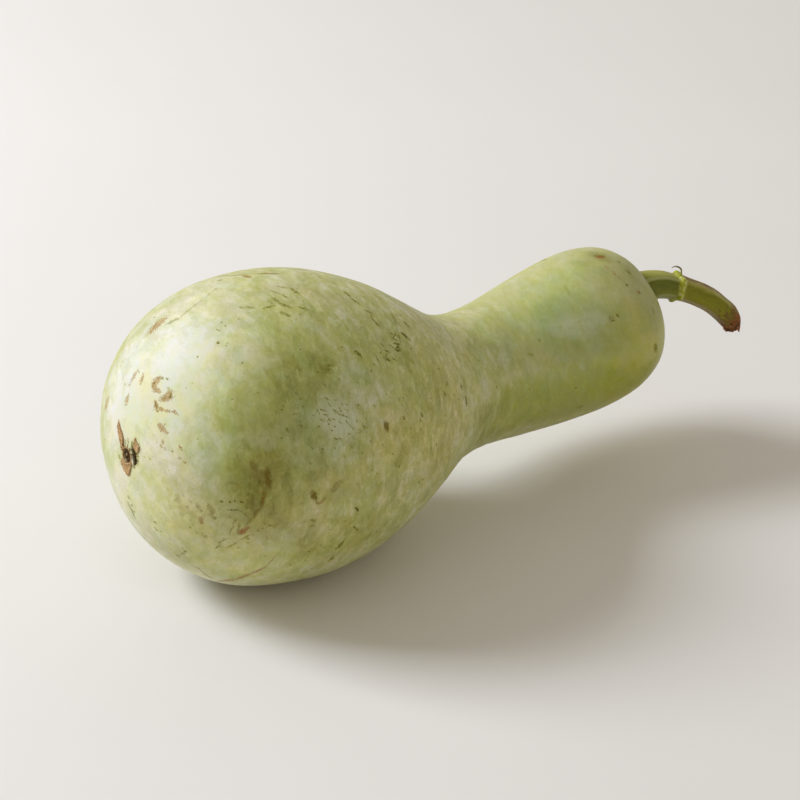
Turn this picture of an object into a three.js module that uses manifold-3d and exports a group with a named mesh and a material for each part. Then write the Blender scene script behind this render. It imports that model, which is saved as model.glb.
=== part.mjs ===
// Bottle gourd (calabash), as picked: one fruit lying on its belly with its cut
// stalk, the withered tendril stub on the stalk's node ring, and the dried
// remains of the flower in the scar at the blossom end.
//
// Millimetres, +Z up. +X runs along the fruit towards the stalk. The fruit rests
// on the flattened patch of its belly at z = 0, and the origin is the centre of
// the bottom of the whole object's box.

import * as THREE from 'three';
import { mergeVertices } from 'three/addons/utils/BufferGeometryUtils.js';
import Module from 'manifold-3d';

// ---- driving dimensions (mm) ------------------------------------------------

// The fruit's outline along its own axis, measured from the blossom end.
const BULB_RADIUS = 75.0;        // widest radius of the bulb
const BLOSSOM_LENGTH = 78.18;    // blossom end to the widest station
const BLOSSOM_ROUND = 2.36;      // superellipse exponent of the blossom end
const BODY_LENGTH = 180.38;      // widest station of the bulb to that of the neck
const BODY_RADII = [75.0, 70.0, 56.22, 38.07, 34.58, 37.63, 40.29]; // evenly spaced
const STALK_END_LENGTH = 39.81;  // widest station of the neck to the stalk end
const STALK_END_ROUND = 2.48;    // superellipse exponent of the stalk end

// How the axis bends: offsets at five stations, sideways (towards +Y) and upward.
const AXIS_STATIONS = [0, 78.18, 150.332, 213.465, 298.37];
const AXIS_SIDE = [1.25, 0, -3.15, 2.24, -6.67];
const AXIS_RISE = [1.63, 0, 0.74, 0.93, 28.01];
const AXIS_TILT_DEG = -5.49;     // the whole axis dips towards the stalk

// The belly is fuller on the ground side, behind the widest station, and is
// flattened where it lay. Stations run from the widest one, towards the stalk.
const AXIS_HEIGHT = 72.44;       // widest station's centre above the ground
const BELLY_FULLNESS = 10.5;     // most that the belly swells past a round section
const BELLY_STATION = 58.0;      // where it swells most
const BELLY_BACK = 46.0;         // reach towards the blossom end
const BELLY_FRONT = 48.0;        // reach towards the stalk
const BELLY_ANGLE = 6.0;         // degrees from straight down, towards +Y
const BELLY_FAR_ANGLE = 85.0;    // where it fades out on the +Y side
const BELLY_NEAR_ANGLE = -36.0;  // and on the -Y side at the widest station
const BELLY_NEAR_ANGLE_2 = -58.0; // and 70 mm nearer the stalk

// Dimples at the two ends of the axis.
const SCAR_DIMPLE_DEPTH = 2.6;
const SCAR_DIMPLE_RADIUS = 4.6;
const STALK_DIMPLE_DEPTH = 1.6;
const STALK_DIMPLE_RADIUS = 14.0;

// The stalk: its centre line, and its radius along that line.
const STALK_LINE = [
  [217.0, -5.6, 82.6], [224.5, -7.3, 84.0], [229.9, -8.7, 83.0], [236.5, -10.3, 80.6],
  [243.8, -12.2, 77.0], [252.3, -14.3, 71.9], [258.6, -15.9, 66.6],
  [264.5, -17.3, 59.7], [268.0, -18.1, 54.0], [268.8, -18.3, 51.0],
];
const STALK_PLANE_NORMAL = [0.243, 0.97, 0]; // the stalk droops in an upright plane
const STALK_RADII = [ // [fraction of the length, radius]
  [0.0, 9.2], [0.07, 8.4], [0.13, 7.3], [0.19, 6.9], [0.235, 6.75], [0.265, 7.3],
  [0.288, 7.85], [0.315, 7.75], [0.34, 6.55], [0.39, 6.15], [0.55, 6.0], [0.7, 5.95],
  [0.82, 5.75], [0.93, 5.2], [1.0, 4.9],
];
const STALK_RIDGES = 5;
const STALK_RIDGE_HEIGHT = 0.35;

// The withered tendril stub on top of the stalk's node ring.
const TENDRIL_RADIUS = 0.6;
const TENDRIL_LINE = [
  [237.8, -10.65, 85.0], [238.4, -10.8, 88.0], [238.6, -10.8, 89.9], [237.9, -10.7, 91.5],
  [236.4, -10.3, 92.5], [234.6, -9.8, 93.0], [233.2, -9.4, 92.6],
];

// The dried flower remains in the scar at the blossom end.
const REMNANT_RADIUS = 4.3;
const REMNANT_PROUD = 1.1;       // how far it stands out of the scar's rim

const GAP = 0.3;                 // clearance between neighbouring pieces

const FRUIT_SEGMENTS = 44;
const STALK_SEGMENTS = 20;

// ---- helpers ----------------------------------------------------------------

// Cubic spline through (xs, ys). ends: 'natural', or 'flat' for zero end slopes.
function cubicSpline(xs, ys, ends) {
  const n = xs.length;
  const a = new Array(n).fill(0), b = new Array(n).fill(0);
  const c = new Array(n).fill(0), d = new Array(n).fill(0);
  for (let i = 1; i < n - 1; i++) {
    const h0 = xs[i] - xs[i - 1], h1 = xs[i + 1] - xs[i];
    a[i] = h0; b[i] = 2 * (h0 + h1); c[i] = h1;
    d[i] = 6 * ((ys[i + 1] - ys[i]) / h1 - (ys[i] - ys[i - 1]) / h0);
  }
  if (ends === 'flat') {
    const h0 = xs[1] - xs[0], h1 = xs[n - 1] - xs[n - 2];
    b[0] = 2 * h0; c[0] = h0; d[0] = 6 * (ys[1] - ys[0]) / h0;
    a[n - 1] = h1; b[n - 1] = 2 * h1; d[n - 1] = -6 * (ys[n - 1] - ys[n - 2]) / h1;
  } else {
    b[0] = 1; b[n - 1] = 1;
  }
  for (let i = 1; i < n; i++) {
    const w = a[i] / b[i - 1];
    b[i] -= w * c[i - 1];
    d[i] -= w * d[i - 1];
  }
  const m = new Array(n).fill(0);
  m[n - 1] = d[n - 1] / b[n - 1];
  for (let i = n - 2; i >= 0; i--) m[i] = (d[i] - c[i] * m[i + 1]) / b[i];
  return (x) => {
    let i = 0;
    while (i < n - 2 && x > xs[i + 1]) i++;
    const h = xs[i + 1] - xs[i], u = xs[i + 1] - x, v = x - xs[i];
    return (m[i] * u ** 3 + m[i + 1] * v ** 3) / (6 * h)
      + (ys[i] / h - m[i] * h / 6) * u + (ys[i + 1] / h - m[i + 1] * h / 6) * v;
  };
}

// Merged, indexed copy of a geometry with no degenerate triangles, facing out.
function weld(geometry) {
  const g = geometry.clone();
  g.deleteAttribute('normal');
  g.deleteAttribute('uv');
  const merged = mergeVertices(g, 1e-4);
  const index = merged.index.array, kept = [];
  for (let i = 0; i < index.length; i += 3) {
    const [p, q, r] = [index[i], index[i + 1], index[i + 2]];
    if (p !== q && q !== r && r !== p) kept.push(p, q, r);
  }
  const pos = merged.attributes.position;
  const A = new THREE.Vector3(), B = new THREE.Vector3(), C = new THREE.Vector3();
  let volume = 0;
  for (let i = 0; i < kept.length; i += 3) {
    A.fromBufferAttribute(pos, kept[i]);
    B.fromBufferAttribute(pos, kept[i + 1]);
    C.fromBufferAttribute(pos, kept[i + 2]);
    volume += A.dot(B.cross(C));
  }
  if (volume < 0) {
    for (let i = 0; i < kept.length; i += 3) {
      [kept[i + 1], kept[i + 2]] = [kept[i + 2], kept[i + 1]];
    }
  }
  merged.setIndex(kept);
  return merged;
}

const wasm = await Module();
wasm.setup();

function toSolid(geometry) {
  const g = weld(geometry);
  return new wasm.Manifold(new wasm.Mesh({
    numProp: 3,
    vertProperties: new Float32Array(g.attributes.position.array),
    triVerts: new Uint32Array(g.index.array),
  }));
}

function toGeometry(solid) {
  const mesh = solid.getMesh();
  const g = new THREE.BufferGeometry();
  g.setAttribute('position', new THREE.BufferAttribute(new Float32Array(mesh.vertProperties), 3));
  g.setIndex(new THREE.BufferAttribute(new Uint32Array(mesh.triVerts), 1));
  g.computeVertexNormals();
  return g;
}

// A geometry whose surface is moved out along its normals.
function grown(geometry, distance) {
  const g = weld(geometry);
  g.computeVertexNormals();
  const pos = g.attributes.position, nor = g.attributes.normal;
  for (let i = 0; i < pos.count; i++) {
    pos.setXYZ(i, pos.getX(i) + distance * nor.getX(i),
      pos.getY(i) + distance * nor.getY(i), pos.getZ(i) + distance * nor.getZ(i));
  }
  return g;
}

// ---- the fruit --------------------------------------------------------------

const fruitLength = BLOSSOM_LENGTH + BODY_LENGTH + STALK_END_LENGTH;
const bodyRadius = cubicSpline(BODY_RADII.map((_, i) => i / 6), BODY_RADII, 'flat');
const axisSide = cubicSpline(AXIS_STATIONS, AXIS_SIDE, 'natural');
const axisRise = cubicSpline(AXIS_STATIONS, AXIS_RISE, 'natural');

// Outline as [radius, distance along the axis].
function fruitOutline() {
  const outline = [];
  const blossom = [0, 1.5, 3, 4.6, 6.4, 8.6, 12, 17, 23, 29.5, 36, 42.5, 49, 55, 60.5, 65.3, 69.3, 72.2, 74.2];
  for (const r of blossom) {
    const s = BLOSSOM_LENGTH * (1 - (1 - (r / BULB_RADIUS) ** BLOSSOM_ROUND) ** (1 / BLOSSOM_ROUND));
    outline.push([r, s + SCAR_DIMPLE_DEPTH * Math.exp(-((r / SCAR_DIMPLE_RADIUS) ** 2))]);
  }
  const rings = 26;
  for (let i = 0; i <= rings; i++) {
    outline.push([bodyRadius(i / rings), BLOSSOM_LENGTH + BODY_LENGTH * i / rings]);
  }
  const neck = BODY_RADII[BODY_RADII.length - 1];
  const stalkEnd = [0.985, 0.95, 0.89, 0.8, 0.69, 0.56, 0.43, 0.31, 0.2, 0.1, 0];
  for (const f of stalkEnd) {
    const s = fruitLength - STALK_END_LENGTH * (1 - (1 - f ** STALK_END_ROUND) ** (1 / STALK_END_ROUND));
    outline.push([f * neck, s - STALK_DIMPLE_DEPTH * Math.exp(-((f * neck / STALK_DIMPLE_RADIUS) ** 2))]);
  }
  return outline;
}

const tilt = THREE.MathUtils.degToRad(AXIS_TILT_DEG);

// Frame on the bent axis at distance s: centre, side and up vectors.
function axisFrame(s) {
  const e = 0.05;
  const at = (t) => new THREE.Vector3(t - BLOSSOM_LENGTH, axisSide(t), axisRise(t));
  const lo = Math.max(0, s - e), hi = Math.min(fruitLength, s + e);
  const tangent = at(hi).sub(at(lo)).normalize();
  const side = new THREE.Vector3(0, 0, 1).cross(tangent).normalize();
  const up = tangent.clone().cross(side);
  return { centre: at(s), side, up, tangent };
}

function placeOnGround(v) {
  const x = v.x * Math.cos(tilt) - v.z * Math.sin(tilt);
  const z = v.x * Math.sin(tilt) + v.z * Math.cos(tilt) + AXIS_HEIGHT;
  v.x = x;
  v.z = z;
  return v;
}

// How far the belly swells at distance s along the axis, in the direction at
// angle degrees from straight down (positive towards +Y).
function bellySwell(s, angle) {
  const u = s - BLOSSOM_LENGTH - BELLY_STATION;
  const along = Math.cos(Math.PI / 2 * THREE.MathUtils.clamp(u / (u < 0 ? BELLY_BACK : BELLY_FRONT), -1, 1)) ** 2;
  const near = THREE.MathUtils.lerp(BELLY_NEAR_ANGLE, BELLY_NEAR_ANGLE_2,
    THREE.MathUtils.clamp((s - BLOSSOM_LENGTH) / 70, 0, 1));
  const q = angle - BELLY_ANGLE;
  const w = THREE.MathUtils.clamp(q / (q < 0 ? BELLY_ANGLE - near : BELLY_FAR_ANGLE - BELLY_ANGLE), -1, 1);
  return BELLY_FULLNESS * along * Math.cos(Math.PI / 2 * w) ** 2;
}

const outline = fruitOutline();
const fruitGeometry = new THREE.LatheGeometry(
  outline.map(([r, s]) => new THREE.Vector2(r, s)), FRUIT_SEGMENTS);
{
  const pos = fruitGeometry.attributes.position;
  for (let i = 0; i < pos.count; i++) {
    const s = pos.getY(i);
    const r = Math.hypot(pos.getX(i), pos.getZ(i));
    const turn = Math.atan2(pos.getX(i), -pos.getZ(i));
    const full = r > 0 ? r + bellySwell(s, THREE.MathUtils.radToDeg(turn)) : 0;
    const { centre, side, up } = axisFrame(THREE.MathUtils.clamp(s, 0, fruitLength));
    const v = placeOnGround(centre.addScaledVector(side, full * Math.sin(turn))
      .addScaledVector(up, -full * Math.cos(turn)));
    pos.setXYZ(i, v.x, v.y, v.z);
  }
}

// The resting patch: everything below the ground plane is cut away.
const ground = new THREE.BoxGeometry(500, 300, 60).translate(0, 0, -30);
const fruit = toSolid(fruitGeometry).subtract(toSolid(ground));
const fruitAndGap = toSolid(grown(fruitGeometry, GAP));

// ---- the stalk --------------------------------------------------------------

const stalkCurve = new THREE.CatmullRomCurve3(
  STALK_LINE.map((p) => new THREE.Vector3(...p)), false, 'centripetal');

function stalkRadius(t) {
  let i = 0;
  while (i < STALK_RADII.length - 2 && t > STALK_RADII[i + 1][0]) i++;
  const [t0, r0] = STALK_RADII[i], [t1, r1] = STALK_RADII[i + 1];
  return THREE.MathUtils.lerp(r0, r1, THREE.MathUtils.clamp((t - t0) / (t1 - t0), 0, 1));
}

function stalkFrame(t) {
  const centre = stalkCurve.getPointAt(t);
  const tangent = stalkCurve.getTangentAt(t);
  const side = new THREE.Vector3(...STALK_PLANE_NORMAL).normalize();
  const across = tangent.clone().cross(side).normalize();
  return { centre, side, across };
}

const stalkStations = STALK_RADII.map(([t]) => t).concat([0.47, 0.62, 0.76, 0.88]).sort((a, b) => a - b);
const stalkOutline = [[0, 0], ...stalkStations.map((t) => [stalkRadius(t), t]), [0, 1]];
const stalkGeometry = new THREE.LatheGeometry(
  stalkOutline.map(([r, t]) => new THREE.Vector2(r, t)), STALK_SEGMENTS);
{
  const pos = stalkGeometry.attributes.position;
  for (let i = 0; i < pos.count; i++) {
    const r = Math.hypot(pos.getX(i), pos.getZ(i));
    const angle = Math.atan2(pos.getZ(i), pos.getX(i));
    const ridged = r > 0 ? r + STALK_RIDGE_HEIGHT * Math.cos(STALK_RIDGES * angle) : 0;
    const { centre, side, across } = stalkFrame(THREE.MathUtils.clamp(pos.getY(i), 0, 1));
    const v = centre.addScaledVector(side, ridged * Math.cos(angle))
      .addScaledVector(across, ridged * Math.sin(angle));
    pos.setXYZ(i, v.x, v.y, v.z);
  }
}
const stalk = toSolid(stalkGeometry).subtract(fruitAndGap);
const stalkAndGap = toSolid(grown(stalkGeometry, GAP));

// ---- the tendril stub -------------------------------------------------------

const tendrilSection = new THREE.Shape();
for (let i = 0; i < 8; i++) {
  const a = i * Math.PI / 4;
  const [x, y] = [TENDRIL_RADIUS * Math.cos(a), TENDRIL_RADIUS * Math.sin(a)];
  if (i === 0) tendrilSection.moveTo(x, y);
  else tendrilSection.lineTo(x, y);
}
tendrilSection.closePath();
const tendrilGeometry = new THREE.ExtrudeGeometry(tendrilSection, {
  steps: 14,
  bevelEnabled: false,
  extrudePath: new THREE.CatmullRomCurve3(TENDRIL_LINE.map((p) => new THREE.Vector3(...p))),
});
const tendril = toSolid(tendrilGeometry).subtract(stalkAndGap);

// ---- the dried flower remains -----------------------------------------------

const remnantGeometry = new THREE.LatheGeometry([
  [0, 6.0], [REMNANT_RADIUS * 0.8, 6.0], [REMNANT_RADIUS, 3.0],
  [REMNANT_RADIUS * 0.95, 0.4], [REMNANT_RADIUS * 0.7, -REMNANT_PROUD * 0.8],
  [REMNANT_RADIUS * 0.4, -REMNANT_PROUD], [REMNANT_RADIUS * 0.25, -REMNANT_PROUD * 0.3],
  [0, 0],
].map(([r, s]) => new THREE.Vector2(r, s)), 16);
{
  const pos = remnantGeometry.attributes.position;
  for (let i = 0; i < pos.count; i++) {
    const { centre, side, up, tangent } = axisFrame(0);
    const angle = Math.atan2(pos.getZ(i), pos.getX(i));
    const r = Math.hypot(pos.getX(i), pos.getZ(i)) * (1 + 0.1 * Math.cos(3 * angle + 0.6));
    const v = centre.addScaledVector(side, r * Math.cos(angle))
      .addScaledVector(up, r * Math.sin(angle)).addScaledVector(tangent, pos.getY(i));
    placeOnGround(v);
    pos.setXYZ(i, v.x, v.y, v.z);
  }
}
const remnant = toSolid(remnantGeometry).subtract(fruitAndGap);

// ---- assembly ---------------------------------------------------------------

const pieces = [
  ['gourd_fruit', fruit, { color: 0xb9c27f, roughness: 0.42, metalness: 0 }],
  ['stalk', stalk, { color: 0x6d6d1c, roughness: 0.55, metalness: 0 }],
  ['tendril_stub', tendril, { color: 0x8e9140, roughness: 0.6, metalness: 0 }],
  ['blossom_remnant', remnant, { color: 0x4a3320, roughness: 0.85, metalness: 0 }],
];

const box = new THREE.Box3();
const geometries = pieces.map(([, solid]) => {
  const g = toGeometry(solid);
  g.computeBoundingBox();
  box.union(g.boundingBox);
  return g;
});
const centre = box.getCenter(new THREE.Vector3());

const gourd = new THREE.Group();
gourd.name = 'bottle_gourd';
pieces.forEach(([name, , look], i) => {
  geometries[i].translate(-centre.x, -centre.y, -box.min.z);
  const mesh = new THREE.Mesh(geometries[i], new THREE.MeshStandardMaterial(look));
  mesh.name = name;
  gourd.add(mesh);
});

export default gourd;
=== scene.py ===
"""Looks of the bottle gourd: the fruit with its scars and mottled, waxy skin, the
cut stalk with its node ring, the withered tendril and the dried flower remains,
on a plain pale floor under soft light."""

import math

import bpy
import numpy as np
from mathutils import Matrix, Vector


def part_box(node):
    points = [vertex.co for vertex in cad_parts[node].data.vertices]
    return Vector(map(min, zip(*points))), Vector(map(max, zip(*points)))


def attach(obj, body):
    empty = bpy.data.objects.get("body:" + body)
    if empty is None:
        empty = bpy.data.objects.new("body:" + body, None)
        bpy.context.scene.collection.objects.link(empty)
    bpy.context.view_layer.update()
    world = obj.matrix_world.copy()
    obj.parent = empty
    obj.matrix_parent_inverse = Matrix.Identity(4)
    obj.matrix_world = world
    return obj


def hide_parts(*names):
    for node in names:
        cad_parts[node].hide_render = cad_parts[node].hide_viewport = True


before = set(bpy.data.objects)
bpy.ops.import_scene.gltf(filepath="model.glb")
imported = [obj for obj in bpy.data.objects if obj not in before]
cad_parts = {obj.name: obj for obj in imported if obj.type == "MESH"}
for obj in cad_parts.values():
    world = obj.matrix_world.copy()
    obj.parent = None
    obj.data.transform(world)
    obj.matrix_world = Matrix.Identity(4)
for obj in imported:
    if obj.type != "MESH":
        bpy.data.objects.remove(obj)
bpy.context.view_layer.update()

MM = 0.001

# ---- body shape ---------------------------------------------------------------
# The same driving numbers as the CAD part, in millimetres. The body frame has
# x = 0 at the bulb's widest station and z = 0 on the ground.

BULB_RADIUS = 75.0
BLOSSOM_LENGTH = 78.18
BLOSSOM_ROUND = 2.36
BODY_LENGTH = 180.38
BODY_RADII = [75.0, 70.0, 56.22, 38.07, 34.58, 37.63, 40.29]
STALK_END_LENGTH = 39.81
STALK_END_ROUND = 2.48
AXIS_STATIONS = [0, 78.18, 150.332, 213.465, 298.37]
AXIS_SIDE = [1.25, 0, -3.15, 2.24, -6.67]
AXIS_RISE = [1.63, 0, 0.74, 0.93, 28.01]
AXIS_TILT_DEG = -5.49
AXIS_HEIGHT = 72.44
BELLY_FULLNESS, BELLY_STATION, BELLY_BACK, BELLY_FRONT = 10.5, 58.0, 46.0, 48.0
BELLY_ANGLE, BELLY_FAR, BELLY_NEAR, BELLY_NEAR_2 = 6.0, 85.0, -36.0, -58.0
STALK_DIMPLE_DEPTH, STALK_DIMPLE_RADIUS = 1.6, 14.0
FRUIT_LENGTH = BLOSSOM_LENGTH + BODY_LENGTH + STALK_END_LENGTH


def spline(xs, ys, ends="natural"):
    """Cubic spline through (xs, ys), with natural ends or ends of zero slope."""
    xs, ys = np.asarray(xs, float), np.asarray(ys, float)
    n = len(xs)
    h = np.diff(xs)
    A, d = np.zeros((n, n)), np.zeros(n)
    for i in range(1, n - 1):
        A[i, i - 1], A[i, i], A[i, i + 1] = h[i - 1], 2 * (h[i - 1] + h[i]), h[i]
        d[i] = 6 * ((ys[i + 1] - ys[i]) / h[i] - (ys[i] - ys[i - 1]) / h[i - 1])
    if ends == "flat":
        A[0, 0], A[0, 1], d[0] = 2 * h[0], h[0], 6 * (ys[1] - ys[0]) / h[0]
        A[-1, -1], A[-1, -2], d[-1] = 2 * h[-1], h[-1], -6 * (ys[-1] - ys[-2]) / h[-1]
    else:
        A[0, 0] = A[-1, -1] = 1
    m = np.linalg.solve(A, d)

    def at(x):
        x = np.asarray(x, float)
        i = np.clip(np.searchsorted(xs, x, side="right") - 1, 0, n - 2)
        k, u, v = h[i], xs[i + 1] - x, x - xs[i]
        return ((m[i] * u**3 + m[i + 1] * v**3) / (6 * k)
                + (ys[i] / k - m[i] * k / 6) * u + (ys[i + 1] / k - m[i + 1] * k / 6) * v)

    return at


def smoothstep(a, b, x):
    t = np.clip((np.asarray(x, float) - a) / (b - a), 0, 1)
    return t * t * (3 - 2 * t)


body_radius = spline(np.arange(7) / 6, BODY_RADII, "flat")
axis_side = spline(AXIS_STATIONS, AXIS_SIDE)
axis_rise = spline(AXIS_STATIONS, AXIS_RISE)
TILT = math.radians(AXIS_TILT_DEG)


def radius_at(s):
    """The outline's radius at distance s from the blossom end."""
    s = np.asarray(s, float)
    cap = BULB_RADIUS * (1 - np.clip(1 - s / BLOSSOM_LENGTH, 0, 1) ** BLOSSOM_ROUND) ** (1 / BLOSSOM_ROUND)
    mid = body_radius(np.clip((s - BLOSSOM_LENGTH) / BODY_LENGTH, 0, 1))
    end = BODY_RADII[-1] * (1 - np.clip(1 - (FRUIT_LENGTH - s) / STALK_END_LENGTH, 0, 1) ** STALK_END_ROUND) ** (1 / STALK_END_ROUND)
    return np.where(s < BLOSSOM_LENGTH, cap, np.where(s > FRUIT_LENGTH - STALK_END_LENGTH, end, mid))


def place_on_ground(p):
    x = p[..., 0] * math.cos(TILT) - p[..., 2] * math.sin(TILT)
    z = p[..., 0] * math.sin(TILT) + p[..., 2] * math.cos(TILT) + AXIS_HEIGHT
    return np.stack([x, p[..., 1], z], -1)


def axis_frame(s):
    e = 0.05
    lo, hi = np.maximum(0, s - e), np.minimum(FRUIT_LENGTH, s + e)

    def at(t):
        return np.stack([t - BLOSSOM_LENGTH, axis_side(t), axis_rise(t)], -1)

    tangent = at(hi) - at(lo)
    tangent /= np.linalg.norm(tangent, axis=-1, keepdims=True)
    side = np.cross(np.array([0, 0, 1.0]), tangent)
    side /= np.linalg.norm(side, axis=-1, keepdims=True)
    return at(s), side, np.cross(tangent, side)


def belly_swell(s, turn):
    angle = np.degrees(turn)
    u = s - BLOSSOM_LENGTH - BELLY_STATION
    along = np.cos(math.pi / 2 * np.clip(u / np.where(u < 0, BELLY_BACK, BELLY_FRONT), -1, 1)) ** 2
    near = BELLY_NEAR + (BELLY_NEAR_2 - BELLY_NEAR) * np.clip((s - BLOSSOM_LENGTH) / 70, 0, 1)
    q = angle - BELLY_ANGLE
    w = np.clip(q / np.where(q < 0, BELLY_ANGLE - near, BELLY_FAR - BELLY_ANGLE), -1, 1)
    return BELLY_FULLNESS * along * np.cos(math.pi / 2 * w) ** 2


def body_point(s, r, turn):
    """Body-frame point at station s, outline radius r, and turn radians from
    straight down towards +Y."""
    full = np.where(r > 1e-9, r + belly_swell(s, turn), 0.0)
    centre, side, up = axis_frame(np.clip(s, 0, FRUIT_LENGTH))
    return place_on_ground(centre + side * (full * np.sin(turn))[..., None] - up * (full * np.cos(turn))[..., None])


# ---- end of body shape --------------------------------------------------------

# The part frame's origin is the middle of the bottom of the whole CAD box. The
# fruit's own CAD box says where the body frame lies in it.
fruit_low, fruit_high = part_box("gourd_fruit")


def body_box():
    s = np.linspace(0, FRUIT_LENGTH, 400)[:, None]
    turn = np.linspace(-math.pi, math.pi, 361)[None, :]
    s, turn = np.broadcast_arrays(s, turn)
    p = body_point(s, radius_at(s), turn).reshape(-1, 3)
    return p.min(0), p.max(0)


_low, _high = body_box()
SHIFT = np.array([
    fruit_high.x / MM - _high[0],
    (fruit_low.y + fruit_high.y) / 2 / MM - (_low[1] + _high[1]) / 2,
    0.0,
])


def to_part(p):
    """Body-frame millimetres to the row frame's metres."""
    return (np.asarray(p, float) + SHIFT) * MM


# ---- noise and small geometry helpers -----------------------------------------

def _hash(i, j, k, seed):
    h = (i.astype(np.uint32) * np.uint32(73856093)) ^ (j.astype(np.uint32) * np.uint32(19349663)) \
        ^ (k.astype(np.uint32) * np.uint32(83492791)) ^ np.uint32((seed * 2654435761) & 0xFFFFFFFF)
    h ^= h >> np.uint32(15)
    h *= np.uint32(2246822519)
    h ^= h >> np.uint32(13)
    h *= np.uint32(3266489917)
    h ^= h >> np.uint32(16)
    return h.astype(np.float64) / 4294967295.0 * 2 - 1


def noise(p, seed=0):
    """Smooth lattice noise from -1 to 1 at points p, with cells one unit wide."""
    p = np.asarray(p, float)
    c = np.floor(p).astype(np.int64)
    f = p - c
    w = f * f * f * (f * (f * 6 - 15) + 10)
    total = 0
    for dx in (0, 1):
        for dy in (0, 1):
            for dz in (0, 1):
                v = _hash(c[..., 0] + dx, c[..., 1] + dy, c[..., 2] + dz, seed)
                total = total + v * (w[..., 0] if dx else 1 - w[..., 0]) \
                    * (w[..., 1] if dy else 1 - w[..., 1]) * (w[..., 2] if dz else 1 - w[..., 2])
    return total


def fbm(p, octaves, seed=0):
    total, amplitude, size = 0, 1.0, 0.0
    for o in range(octaves):
        total = total + amplitude * noise(np.asarray(p) * 2.03**o, seed + 17 * o)
        size += amplitude
        amplitude *= 0.5
    return total / size


def outside_polygon(p, q, corners):
    """Signed distance from points (p, q) to a polygon, negative inside."""
    best, inside = np.full(np.shape(p), 1e9), np.zeros(np.shape(p), bool)
    n = len(corners)
    for i in range(n):
        (x0, y0), (x1, y1) = corners[i], corners[(i + 1) % n]
        dx, dy = x1 - x0, y1 - y0
        t = np.clip(((p - x0) * dx + (q - y0) * dy) / (dx * dx + dy * dy), 0, 1)
        best = np.minimum(best, np.hypot(p - x0 - t * dx, q - y0 - t * dy))
        cross = (y0 > q) != (y1 > q)
        at = x0 + (q - y0) / np.where(abs(dy) < 1e-12, 1e-12, dy) * dx
        inside ^= cross & (p < at)
    return np.where(inside, -best, best)


def along_line(p, q, line, widths):
    """Distance to a line of points, less its half width there."""
    best = np.full(np.shape(p), 1e9)
    for i in range(len(line) - 1):
        (x0, y0), (x1, y1) = line[i], line[i + 1]
        dx, dy = x1 - x0, y1 - y0
        t = np.clip(((p - x0) * dx + (q - y0) * dy) / (dx * dx + dy * dy), 0, 1)
        w = widths[i] * (1 - t) + widths[i + 1] * t
        best = np.minimum(best, np.hypot(p - x0 - t * dx, q - y0 - t * dy) - w)
    return best


def grid_faces(rows, columns, start=0, flip=False):
    """Quads of a grid of rows x columns vertices, closed around its columns."""
    i, j = np.meshgrid(np.arange(rows - 1), np.arange(columns), indexing="ij")
    k = (j + 1) % columns
    quads = np.stack([i * columns + j, i * columns + k, (i + 1) * columns + k, (i + 1) * columns + j], -1).reshape(-1, 4) + start
    return quads[:, ::-1] if flip else quads


def make_mesh(name, points, quads, tris=(), attributes=None):
    """A smooth-shaded closed mesh object, facing out, from body-frame millimetres."""
    quads, tris = np.asarray(quads, int).reshape(-1, 4), np.asarray(tris, int).reshape(-1, 3)
    every = np.concatenate([quads[:, [0, 1, 2]], quads[:, [0, 2, 3]], tris])
    a, b, c = (np.asarray(points)[every[:, i]] - np.mean(points, 0) for i in range(3))
    if np.einsum("ij,ij->i", a, np.cross(b, c)).sum() < 0:
        quads, tris = quads[:, ::-1], tris[:, ::-1]
    faces = quads.tolist() + tris.tolist()
    mesh = bpy.data.meshes.new(name)
    mesh.from_pydata(to_part(points).tolist(), [], faces)
    for key, values in (attributes or {}).items():
        values = np.asarray(values, np.float32)
        if values.ndim == 1:
            mesh.attributes.new(key, "FLOAT", "POINT").data.foreach_set("value", values)
        else:
            mesh.attributes.new(key, "FLOAT_VECTOR", "POINT").data.foreach_set("vector", values.ravel())
    mesh.polygons.foreach_set("use_smooth", np.ones(len(faces), bool))
    mesh.update()
    ob = bpy.data.objects.new(name, mesh)
    bpy.context.scene.collection.objects.link(ob)
    return ob


# ---- the fruit ----------------------------------------------------------------
# The scar at the blossom end, in millimetres from the pole: p towards +Y and q
# up. Three corky splits run out from a sunken ring, with a gap on its near side.

SPLIT_LONG = [(12.9, 11.5), (10.5, 9.7), (7.6, 7.6), (6.0, 5.9), (5.6, 3.1), (5.0, -0.4), (6.6, -1.0), (7.7, 1.5), (9.3, 3.8), (11.0, 6.3), (12.5, 9.3)]
SPLIT_LOW = [(6.4, -4.6), (5.9, -7.4), (3.3, -9.6), (0.1, -11.0), (-1.7, -9.9), (-2.7, -6.0), (-3.0, -3.4), (1.0, -4.4), (4.2, -5.4)]
SPLIT_NEAR = [(-4.3, 10.2), (-6.3, 8.8), (-8.2, 7.8), (-8.6, 6.1), (-7.3, 4.2), (-5.8, 4.9), (-4.5, 5.2), (-3.8, 6.8)]
RING_AT, RING_RADIUS = (2.0, -1.7), 3.5
CREVICE = [(-2.2, 5.0), (-3.1, 3.3), (-4.3, 1.3), (-5.3, -0.7), (-5.1, -2.6)]
CREVICE_WIDTH = [0.6, 1.5, 2.1, 2.0, 1.1]


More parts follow.
